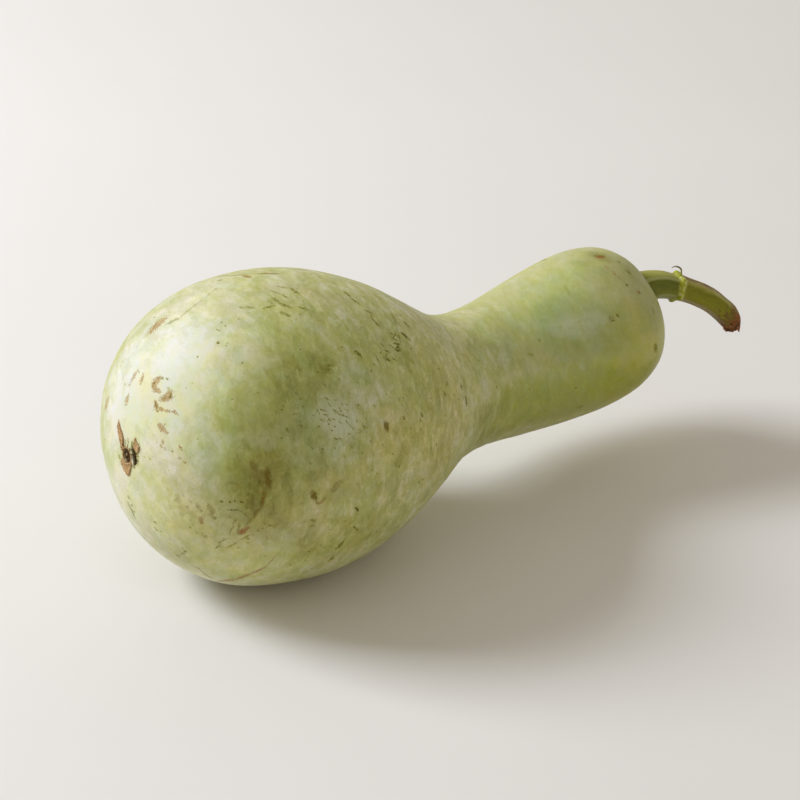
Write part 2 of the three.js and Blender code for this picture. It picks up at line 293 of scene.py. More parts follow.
def scar(p, q):
    """Height of the scar (mm), and its masks for cork and for the dark pit, crevice and hairs. The pit and crevice are
    dark partly as dry tissue and partly as painted shade in these hollows.
    """
    n1 = fbm(np.stack([p * 0.9, q * 0.9, 0 * p], -1), 3, 5)
    n2 = fbm(np.stack([p * 2.6, q * 2.6, 0 * p + 7], -1), 2, 9)
    edge = 0.45 * n1 + 0.25 * n2
    rho = np.hypot(p - RING_AT[0], q - RING_AT[1])
    around = np.arctan2(q - RING_AT[1], p - RING_AT[0])
    long = outside_polygon(p, q, SPLIT_LONG) + 0.6 * edge
    low = outside_polygon(p, q, SPLIT_LOW) + 0.8 * edge
    near = outside_polygon(p, q, SPLIT_NEAR) + 0.8 * edge
    splits = np.minimum(np.minimum(long, low), near)
    cork = 1 - smoothstep(-0.15, 0.35, splits)
    # A split's cork stands up a little, is lowest along its middle and curls at its rim.
    height = 0.5 * cork + 0.25 * np.exp(-((splits + 0.35) / 0.3) ** 2) * cork - 0.3 * smoothstep(0.6, 2.0, -splits) + 0.12 * n2 * cork
    height -= 0.18 * np.exp(-((splits - 0.5) / 0.35) ** 2)
    rim = np.exp(-((rho - RING_RADIUS - 0.45 - 0.25 * n1) / 0.5) ** 2)
    pit = 1 - smoothstep(RING_RADIUS - 0.7, RING_RADIUS + 0.15, rho + 0.35 * edge)
    gap = 1 - smoothstep(-0.45, 0.25, along_line(p, q, CREVICE, CREVICE_WIDTH) + 0.45 * edge)
    height += 0.3 * rim - 0.7 * np.exp(-(rho / 9.0) ** 2)
    height = height * (1 - pit) + pit * (-2.1 + 0.3 * n2)
    height = height * (1 - gap) + gap * (-2.3 + 0.3 * n2)
    cork = np.maximum(cork, 0.75 * rim)
    hairs = np.exp(-((rho - 5.0) / 1.3) ** 2) * (noise(np.stack([around * 11, 0 * p, 0 * p], -1), 3) > 0.25)
    return height, cork * (1 - gap) * (1 - pit), np.maximum(np.maximum(pit, gap), 0.55 * hairs * smoothstep(-0.2, 0.9, np.sin(around)))


POLE = body_point(np.array(0.0), np.array(0.0), np.array(0.0))


def make_fruit():
    # Rings sit close together at the blossom scar and the stalk dimple.
    phi = np.linspace(0, math.pi / 2, 4000)
    s = np.concatenate([
        BLOSSOM_LENGTH * (1 - np.cos(phi) ** (2 / BLOSSOM_ROUND)),
        np.linspace(BLOSSOM_LENGTH, FRUIT_LENGTH - STALK_END_LENGTH, 3000)[1:],
        (FRUIT_LENGTH - STALK_END_LENGTH * (1 - np.cos(phi[::-1]) ** (2 / STALK_END_ROUND)))[1:],
    ])
    r = np.concatenate([
        BULB_RADIUS * np.sin(phi) ** (2 / BLOSSOM_ROUND),
        body_radius(np.linspace(0, 1, 3000))[1:],
        (BODY_RADII[-1] * np.sin(phi[::-1]) ** (2 / STALK_END_ROUND))[1:],
    ])
    arc = np.concatenate([[0], np.cumsum(np.hypot(np.diff(s), np.diff(r)))])
    left = arc[-1] - arc
    pitch = 0.30 + 0.15 * smoothstep(7, 11, arc) + 1.0 * smoothstep(14, 34, arc)
    pitch = np.minimum(pitch, 0.9 + 0.55 * smoothstep(16, 34, left))
    count = np.concatenate([[0], np.cumsum(np.diff(arc) / pitch[1:])])
    rings = int(count[-1])
    at = np.interp(np.linspace(0, count[-1], rings + 1)[1:-1], count, np.arange(len(arc)))
    s, r = np.interp(at, np.arange(len(s)), s), np.interp(at, np.arange(len(r)), r)

    columns = 288
    turn = (np.arange(columns) / columns * 2 - 1) * math.pi
    S, turns = np.meshgrid(s, turn, indexing="ij")
    R = np.broadcast_to(r[:, None], S.shape)
    points = body_point(S, R, turns)
    along, across = np.gradient(points, axis=0), np.roll(points, -1, 1) - np.roll(points, 1, 1)
    normal = np.cross(across, along)
    normal /= np.linalg.norm(normal, axis=-1, keepdims=True)
    if (normal[:, :, 2] * (points[:, :, 2] - 70)).mean() < 0:
        normal = -normal

    # Slow unevenness of a grown fruit, and faint folds around its waist.
    centre, side, up = axis_frame(np.clip(S, 0, FRUIT_LENGTH))
    local = np.stack([S, (R * np.sin(turns)), -(R * np.cos(turns))], -1)
    lift = 0.42 * noise(local / 34.0, 1) + 0.22 * noise(local / 15.0, 2)
    waist = np.exp(-((S - 178) / 42.0) ** 2)
    folds = fbm(local * np.array([1 / 5.0, 1 / 26.0, 1 / 26.0]), 2, 11)
    lift += 0.16 * waist * folds
    lift += 0.05 * fbm(local * np.array([1 / 4.0, 1 / 9.0, 1 / 9.0]), 2, 21)
    away = smoothstep(6, 20, R)
    end = S > FRUIT_LENGTH / 2
    lift *= np.where(end, smoothstep(8, 26, R), away)
    # The stalk end sinks in round the stalk, with shallow furrows running into it.
    lift += np.where(end, -STALK_DIMPLE_DEPTH * np.exp(-(R / STALK_DIMPLE_RADIUS) ** 2)
                     * (1 + 0.35 * np.cos(5 * turns + 0.7)), 0)
    p, q = points[..., 1] - POLE[1], points[..., 2] - POLE[2]
    h, cork, dark = scar(p, q)
    near_scar = (~end) & (R < 19)
    lift = lift + np.where(near_scar, h * (1 - smoothstep(15, 19, R)), 0)
    cork, dark = np.where(near_scar, cork, 0), np.where(near_scar, dark, 0)
    points = points + normal * lift[..., None]

    # The belly is pressed flat where it rests, with a soft edge.
    z = points[..., 2]
    points[..., 2] = np.where(z < 2, 0.5 * (z + np.sqrt(z * z + 0.09)) - 0.5 * (math.sqrt(4.09) - 2) * np.clip(z / 2, 0, 1), z)

    last = body_point(np.array(FRUIT_LENGTH), np.array(0.0), np.array(0.0)) - np.array([STALK_DIMPLE_DEPTH, 0, 0])
    h0, c0, d0 = scar(np.array([0.0]), np.array([0.0]))
    first = POLE + np.array([-float(h0[0]), 0, 0])
    n = len(s) * columns
    every = np.concatenate([points.reshape(-1, 3), first[None], last[None]])
    quads = grid_faces(len(s), columns, flip=True)
    j = np.arange(columns)
    tris = np.concatenate([
        np.stack([np.full(columns, n), j, (j + 1) % columns], -1),
        np.stack([np.full(columns, n + 1), n - columns + (j + 1) % columns, n - columns + j], -1),
    ])
    skin = np.concatenate([local.reshape(-1, 3), [[0, 0, 0]], [[FRUIT_LENGTH, 0, 0]]]) * MM
    ob = make_mesh("gourd_skin", every, quads, tris, {
        "skin": skin,
        "cork": np.concatenate([cork.ravel(), c0, [0]]),
        "dark": np.concatenate([dark.ravel(), d0, [0]]),
    })
    return ob


fruit = make_fruit()


# ---- the stalk ----------------------------------------------------------------

STALK_LINE = np.array([
    [217.0, -5.6, 82.6], [224.5, -7.3, 84.0], [229.9, -8.7, 83.0], [236.5, -10.3, 80.6],
    [243.8, -12.2, 77.0], [252.3, -14.3, 71.9], [258.6, -15.9, 66.6],
    [264.5, -17.3, 59.7], [268.0, -18.1, 54.0], [268.8, -18.3, 51.0],
])
STALK_SIDE = np.array([0.243, 0.97, 0.0]) / np.hypot(0.243, 0.97)
STALK_RADII = [
    (0.0, 9.6), (0.07, 8.5), (0.13, 7.3), (0.19, 6.85), (0.235, 6.6), (0.262, 6.75),
    (0.34, 6.5), (0.39, 6.15), (0.55, 6.0), (0.7, 5.95), (0.82, 5.75), (0.93, 5.35), (1.0, 5.2),
]
NODE_RING = 0.297
RIDGE_TURN = math.radians(200.0)   # where one of the five ridges runs


def line_spline(points):
    """A smooth line through points by centripetal spacing: position and tangent
    at a fraction of its length."""
    points = np.asarray(points, float)
    knots = np.concatenate([[0], np.cumsum(np.linalg.norm(np.diff(points, axis=0), axis=1) ** 0.5)])
    parts = [spline(knots, points[:, i]) for i in range(3)]
    u = np.linspace(0, knots[-1], 2000)
    dense = np.stack([f(u) for f in parts], -1)
    length = np.concatenate([[0], np.cumsum(np.linalg.norm(np.diff(dense, axis=0), axis=1))])

    def at(t):
        v = np.interp(np.asarray(t) * length[-1], length, u)
        e = knots[-1] * 1e-3
        here = np.stack([f(v) for f in parts], -1)
        ahead = np.stack([f(np.clip(v + e, 0, knots[-1])) for f in parts], -1)
        behind = np.stack([f(np.clip(v - e, 0, knots[-1])) for f in parts], -1)
        tangent = ahead - behind
        return here, tangent / np.linalg.norm(tangent, axis=-1, keepdims=True)

    return at, length[-1]


stalk_at, STALK_LENGTH = line_spline(STALK_LINE)


def make_stalk():
    columns = 120
    t = np.concatenate([
        np.linspace(0.0, 0.24, 50), np.linspace(0.24, 0.36, 60)[1:],
        np.linspace(0.36, 0.88, 90)[1:], np.linspace(0.88, 1.0, 50)[1:],
    ])
    turn = np.arange(columns) / columns * 2 * math.pi
    T, A = np.meshgrid(t, turn, indexing="ij")
    radii = np.array(STALK_RADII)
    smooth = spline(radii[:, 0], radii[:, 1])
    R = smooth(T)
    twist = A - RIDGE_TURN - 0.35 * (T - 0.3)
    # Five rounded ridges with shallow valleys between, fading towards the cut.
    ridge = (0.5 + 0.5 * np.cos(5 * twist)) ** 1.6
    R = R + (0.95 * ridge - 0.4) * (1 - 0.55 * smoothstep(0.5, 0.95, T)) * (0.35 + 0.65 * smoothstep(0.02, 0.14, T))
    # The node ring: a lumpy collar, sharp towards the fruit, with knobs on its ridges.
    high = np.cos(A - math.radians(60))   # 1 along the stalk's upper back edge
    u = T - NODE_RING - 0.007 * (1 - high)
    ring = np.exp(-(np.abs(u) / np.where(u < 0, 0.017, 0.028)) ** 2.2)
    grid = np.stack([T * STALK_LENGTH, R * np.cos(A), R * np.sin(A)], -1)
    R = R + ring * (0.75 + 0.75 * ridge + 0.45 * noise(grid / 2.4, 31))
    R = R - 0.35 * np.exp(-((u + 0.042) / 0.018) ** 2)
    # Fine lengthwise lines, and small warts.
    R = R + 0.07 * fbm(np.stack([T * 4, 5.0 * np.cos(A) * 2.2, 5.0 * np.sin(A) * 2.2], -1), 2, 37)
    R = R + 0.10 * fbm(grid / 1.6, 2, 41) * (0.4 + smoothstep(0.8, 1.0, T))
    # The cut end is torn: dry, shrunken folds and a ragged rim.
    torn = smoothstep(0.86, 1.0, T)
    R = R + torn * (0.55 * noise(np.stack([np.cos(A) * 2.4, np.sin(A) * 2.4, T * 9], -1), 43)
                    + 0.3 * noise(np.stack([np.cos(A) * 6.5, np.sin(A) * 6.5, T * 14], -1), 47))
    # The outer side of the bend swells a little, then shrinks in at the cut.
    outer = np.clip(np.cos(A - math.radians(122)), 0, 1)
    R = R + 0.9 * np.exp(-((T - 0.86) / 0.065) ** 2) * smoothstep(0.1, 1.0, np.cos(A - math.radians(90)))
    R = R * (1 - smoothstep(0.91, 1.0, T) * (0.05 + 0.36 * outer ** 2))
    centre, tangent = stalk_at(T)
    side = np.broadcast_to(STALK_SIDE, centre.shape)
    across = np.cross(tangent, side)
    across /= np.linalg.norm(across, axis=-1, keepdims=True)
    out = side * np.cos(A)[..., None] + across * np.sin(A)[..., None]
    jag = 0.9 * noise(np.stack([np.cos(turn) * 2.1, np.sin(turn) * 2.1, 0 * turn], -1), 53) \
        + 0.7 * noise(np.stack([np.cos(turn) * 6.3, np.sin(turn) * 6.3, 0 * turn], -1), 59)
    push = smoothstep(0.93, 1.0, T) * jag[None, :] * 0.8
    push = push + smoothstep(0.88, 1.0, T) * (2.3 * outer ** 6 - 1.4 * np.exp(-((np.cos(A - math.radians(122)) - 0.1) / 0.4) ** 2))
    points = centre + out * R[..., None] + tangent * push[..., None]

    # Inside the rim: a torn lip, then a fibrous hollow face.
    end_centre, end_tangent = stalk_at(np.array(1.0))
    end_across = np.cross(end_tangent, STALK_SIDE)
    rim = points[-1]
    rows = [points]
    for f, depth in [(0.93, 0.10), (0.86, -0.25), (0.78, -0.7), (0.68, -1.0), (0.57, -0.9), (0.45, -1.1), (0.33, -0.8), (0.21, -1.0), (0.1, -0.9)]:
        rough = 0.45 * noise(np.stack([np.cos(turn) * f * 5, np.sin(turn) * f * 5, 0 * turn + 3], -1), 61)
        flat = end_centre + (rim - end_centre) * f
        along = ((flat - end_centre) @ end_tangent)[:, None]
        flat = flat - end_tangent * along * (1 - f)
        rows.append((flat + end_tangent * (depth + rough)[:, None])[None])
    every = np.concatenate(rows)
    n_rows = every.shape[0]
    T2 = np.concatenate([T, np.full((n_rows - len(t), columns), 1.0)])
    A2 = np.broadcast_to(turn, T2.shape)
    face = np.concatenate([np.zeros(T.shape), np.ones((n_rows - len(t), columns))])
    flat = every.reshape(-1, 3)
    first, last = stalk_at(np.array(0.0))[0], end_centre - end_tangent * 0.9
    n = len(flat)
    flat = np.concatenate([flat, first[None], last[None]])
    j = np.arange(columns)
    tris = np.concatenate([
        np.stack([np.full(columns, n), (j + 1) % columns, j], -1),
        np.stack([np.full(columns, n + 1), n - columns + j, n - columns + (j + 1) % columns], -1),
    ])
    axes = np.stack([T2, np.cos(A2), np.sin(A2)], -1).reshape(-1, 3)
    ridges = (0.5 + 0.5 * np.cos(5 * (A2 - RIDGE_TURN - 0.35 * (T2 - 0.3)))).ravel()
    return make_mesh("stalk_green", flat, grid_faces(n_rows, columns), tris, {
        "stalk": np.concatenate([axes, [[0, 0, 0], [1, 0, 0]]]),
        "ridge": np.concatenate([ridges, [0, 0]]),
        "torn": np.concatenate([face.ravel(), [0, 1]]),
    })


stalk = make_stalk()


# ---- the tendril stub ---------------------------------------------------------

TENDRIL_LINE = [
    [238.0, -10.5, 85.6], [238.3, -10.75, 87.2], [238.7, -10.9, 88.9], [238.5, -10.85, 90.4],
    [237.6, -10.6, 91.7], [236.2, -10.25, 92.6], [234.6, -9.85, 92.9], [233.3, -9.5, 92.3],
]


def make_tendril():
    at, length = line_spline(TENDRIL_LINE)
    columns = 20
    t = np.linspace(0, 1, 90)
    turn = np.arange(columns) / columns * 2 * math.pi
    T, A = np.meshgrid(t, turn, indexing="ij")
    # Broad where it grows out of the node ring, thin and shrivelled at its tip.
    R = 0.42 + 1.5 * (1 - smoothstep(0, 0.36, T)) ** 1.5 - 0.2 * smoothstep(0.6, 1.0, T)
    R = R * (1 + 0.16 * np.cos(3 * A + 9 * T) + 0.2 * noise(np.stack([T * 16, np.cos(A) * 0.9, np.sin(A) * 0.9], -1), 71))
    R = R * np.sqrt(np.clip(1 - smoothstep(0.965, 1.001, T), 0.02, 1))
    centre, tangent = at(T)
    side = np.broadcast_to(STALK_SIDE, centre.shape)
    across = np.cross(tangent, side)
    across /= np.linalg.norm(across, axis=-1, keepdims=True)
    points = centre + side * (0.75 * R * np.cos(A))[..., None] + across * (R * np.sin(A))[..., None]
    flat = points.reshape(-1, 3)
    n = len(flat)
    flat = np.concatenate([flat, at(np.array(0.0))[0][None], at(np.array(1.0))[0][None]])
    j = np.arange(columns)
    tris = np.concatenate([
        np.stack([np.full(columns, n), (j + 1) % columns, j], -1),
        np.stack([np.full(columns, n + 1), n - columns + j, n - columns + (j + 1) % columns], -1),
    ])
    return make_mesh("tendril_curl", flat, grid_faces(len(t), columns), tris,
                     {"dried": np.concatenate([T.ravel(), [0, 1]])})


tendril = make_tendril()


# ---- the dried flower remains -------------------------------------------------

def make_remnant():
    """The shrivelled base of the flower, sunk in the scar: a dark frill of torn
    folds round a pale core."""
    columns, rows = 120, 40
    f = np.linspace(0, 1, rows + 1)[1:]
    turn = np.arange(columns) / columns * 2 * math.pi
    Fr, A = np.meshgrid(f, turn, indexing="ij")
    lobes = 1 + 0.10 * np.cos(5 * A + 0.8) + 0.10 * noise(np.stack([np.cos(A) * 2.2, np.sin(A) * 2.2, 0 * A], -1), 81)
    radius = 3.25 * Fr * lobes
    folds = np.cos(13 * A + 3.0 * noise(np.stack([Fr * 3, np.cos(A), np.sin(A)], -1), 83))
    torn = fbm(np.stack([radius * np.cos(A) * 1.3, radius * np.sin(A) * 1.3, 0 * A], -1), 3, 87)
    core = np.exp(-((radius * np.cos(A) - 0.9) ** 2 + (radius * np.sin(A) - 0.1) ** 2) / 0.55)
    height = -1.5 + 0.9 * core + 0.55 * torn + 0.35 * folds * Fr + 1.25 * np.exp(-((Fr - 0.72) / 0.2) ** 2) * (0.6 + 0.6 * torn) - 1.6 * smoothstep(0.86, 1.0, Fr)
    q = RING_AT[1] + radius * np.sin(A)
    p = RING_AT[0] + radius * np.cos(A)
    top = np.stack([POLE[0] - height, POLE[1] + p, POLE[2] + q], -1)
    under = np.stack([np.full(columns, POLE[0] + 3.6), POLE[1] + RING_AT[0] + 2.6 * np.cos(turn), POLE[2] + RING_AT[1] + 2.6 * np.sin(turn)], -1)
    every = np.concatenate([top, under[None]])
    flat = every.reshape(-1, 3)
    n = len(flat)
    centre_top = np.array([POLE[0] + 1.5, POLE[1] + RING_AT[0], POLE[2] + RING_AT[1]])
    centre_low = centre_top + np.array([2.1, 0, 0])
    flat = np.concatenate([flat, centre_top[None], centre_low[None]])
    j = np.arange(columns)
    tris = np.concatenate([
        np.stack([np.full(columns, n), (j + 1) % columns, j], -1),
        np.stack([np.full(columns, n + 1), n - columns + j, n - columns + (j + 1) % columns], -1),
    ])
    lit = np.concatenate([(core * (0.75 + 0.5 * torn)).ravel(), np.zeros(columns), [1, 0]])
    high = np.concatenate([height.ravel(), np.full(columns, -3.0), [-1.5, -3]])
    return make_mesh("flower_remains", flat, grid_faces(rows + 1, columns), tris, {"core": lit, "high": high})


remnant = make_remnant()


# ---- materials ----------------------------------------------------------------

def srgb(r, g, b):
    """An 8-bit display colour as linear values."""
    return tuple(c / 12.92 if c <= 0.04045 else ((c + 0.055) / 1.055) ** 2.4 for c in (r / 255, g / 255, b / 255)) + (1.0,)


class Tree:
    """Short calls for building a material's nodes."""

    def __init__(self, name):
        self.material = bpy.data.materials.new(name)
        self.material.use_nodes = True
        self.tree = self.material.node_tree
        self.tree.nodes.clear()
        self.out = self.add("ShaderNodeOutputMaterial")
        self.shader = self.add("ShaderNodeBsdfPrincipled")
        self.tree.links.new(self.shader.outputs[0], self.out.inputs["Surface"])

    def add(self, kind, **settings):
        node = self.tree.nodes.new(kind)
        for key, value in settings.items():
            setattr(node, key, value)
        return node

    def put(self, socket, value):
        if isinstance(value, bpy.types.NodeSocket):
            self.tree.links.new(value, socket)
        elif value is not None:
            socket.default_value = value

    def object(self):
        return self.add("ShaderNodeTexCoord").outputs["Object"]

    def attribute(self, name, kind="Fac"):
        return self.add("ShaderNodeAttribute", attribute_name=name, attribute_type="GEOMETRY").outputs[kind]

    def scaled(self, vector, scale, offset=(0, 0, 0)):
        node = self.add("ShaderNodeMapping", vector_type="POINT")
        self.put(node.inputs["Vector"], vector)
        node.inputs["Scale"].default_value = scale
        node.inputs["Location"].default_value = offset
        return node.outputs[0]

    def noise(self, vector, scale, detail=2.0, rough=0.5, warp=0.0, colour=False):
        node = self.add("ShaderNodeTexNoise", noise_dimensions="3D", normalize=True)
        self.put(node.inputs["Vector"], vector)
        node.inputs["Scale"].default_value = scale
        node.inputs["Detail"].default_value = detail
        node.inputs["Roughness"].default_value = rough
        node.inputs["Distortion"].default_value = warp
        return node.outputs["Color" if colour else "Fac"]

    def cells(self, vector, scale, feature="F1", jitter=1.0, output="Distance", smooth=None):
        node = self.add("ShaderNodeTexVoronoi", feature=feature)
        self.put(node.inputs["Vector"], vector)
        node.inputs["Scale"].default_value = scale
        node.inputs["Randomness"].default_value = jitter
        if smooth is not None:
            node.inputs["Smoothness"].default_value = smooth
        return node.outputs[output]

    def math(self, kind, a, b=None, c=None, clamp=False):
        node = self.add("ShaderNodeMath", operation=kind, use_clamp=clamp)
        for socket, value in zip(node.inputs, (a, b, c)):
            self.put(socket, value)
        return node.outputs[0]

    def vmath(self, kind, a, b=None, scale=None):
        node = self.add("ShaderNodeVectorMath", operation=kind)
        self.put(node.inputs[0], a)
        self.put(node.inputs[1], b)
        if scale is not None:
            self.put(node.inputs["Scale"], scale)
        return node.outputs["Value" if kind in ("LENGTH", "DISTANCE", "DOT_PRODUCT") else "Vector"]

    def span(self, value, low, high, to_low=0.0, to_high=1.0, smooth=True):
        """Value from low..high, mapped to to_low..to_high and held beyond."""
        node = self.add("ShaderNodeMapRange", interpolation_type="SMOOTHSTEP" if smooth else "LINEAR", clamp=not smooth)
        for socket, v in zip(node.inputs, (value, low, high, to_low, to_high)):
            self.put(socket, v)
        return node.outputs[0]

    def mix(self, factor, a, b, kind="MIX"):
        node = self.add("ShaderNodeMix", data_type="RGBA", blend_type=kind, clamp_factor=True)
        self.put(node.inputs["Factor"], factor)
        self.put(node.inputs[6], a)
        self.put(node.inputs[7], b)
        return node.outputs[2]

    def ramp(self, value, stops, interpolation="LINEAR"):
        node = self.add("ShaderNodeValToRGB")
        self.put(node.inputs[0], value)
        ramp = node.color_ramp
        ramp.interpolation = interpolation
        while len(ramp.elements) < len(stops):
            ramp.elements.new(0.5)
        for element, (at, colour) in zip(ramp.elements, stops):
            element.position = at
            element.color = colour
        return node.outputs[0]

    def bump(self, height, distance, strength=1.0, normal=None):
        node = self.add("ShaderNodeBump")
        node.inputs["Strength"].default_value = strength
        node.inputs["Distance"].default_value = distance
        self.put(node.inputs["Height"], height)
        if normal is not None:
            self.put(node.inputs["Normal"], normal)
        return node.outputs[0]


class Group(Tree):
    """A node group with one vector in and one value or vector out."""

    def __init__(self, name, result="NodeSocketFloat"):
        self.tree = bpy.data.node_groups.new(name, "ShaderNodeTree")
        self.tree.interface.new_socket("Where", in_out="INPUT", socket_type="NodeSocketVector")
        self.tree.interface.new_socket("Amount", in_out="OUTPUT", socket_type=result)
        self.where = self.add("NodeGroupInput").outputs[0]

    def used_in(self, m, where, result):
        self.put(self.add("NodeGroupOutput").inputs[0], result)
        node = m.add("ShaderNodeGroup", node_tree=self.tree)
        m.put(node.inputs[0], where)
        return node.outputs[0]


# ---- skin ----------------------------------------------------------------------

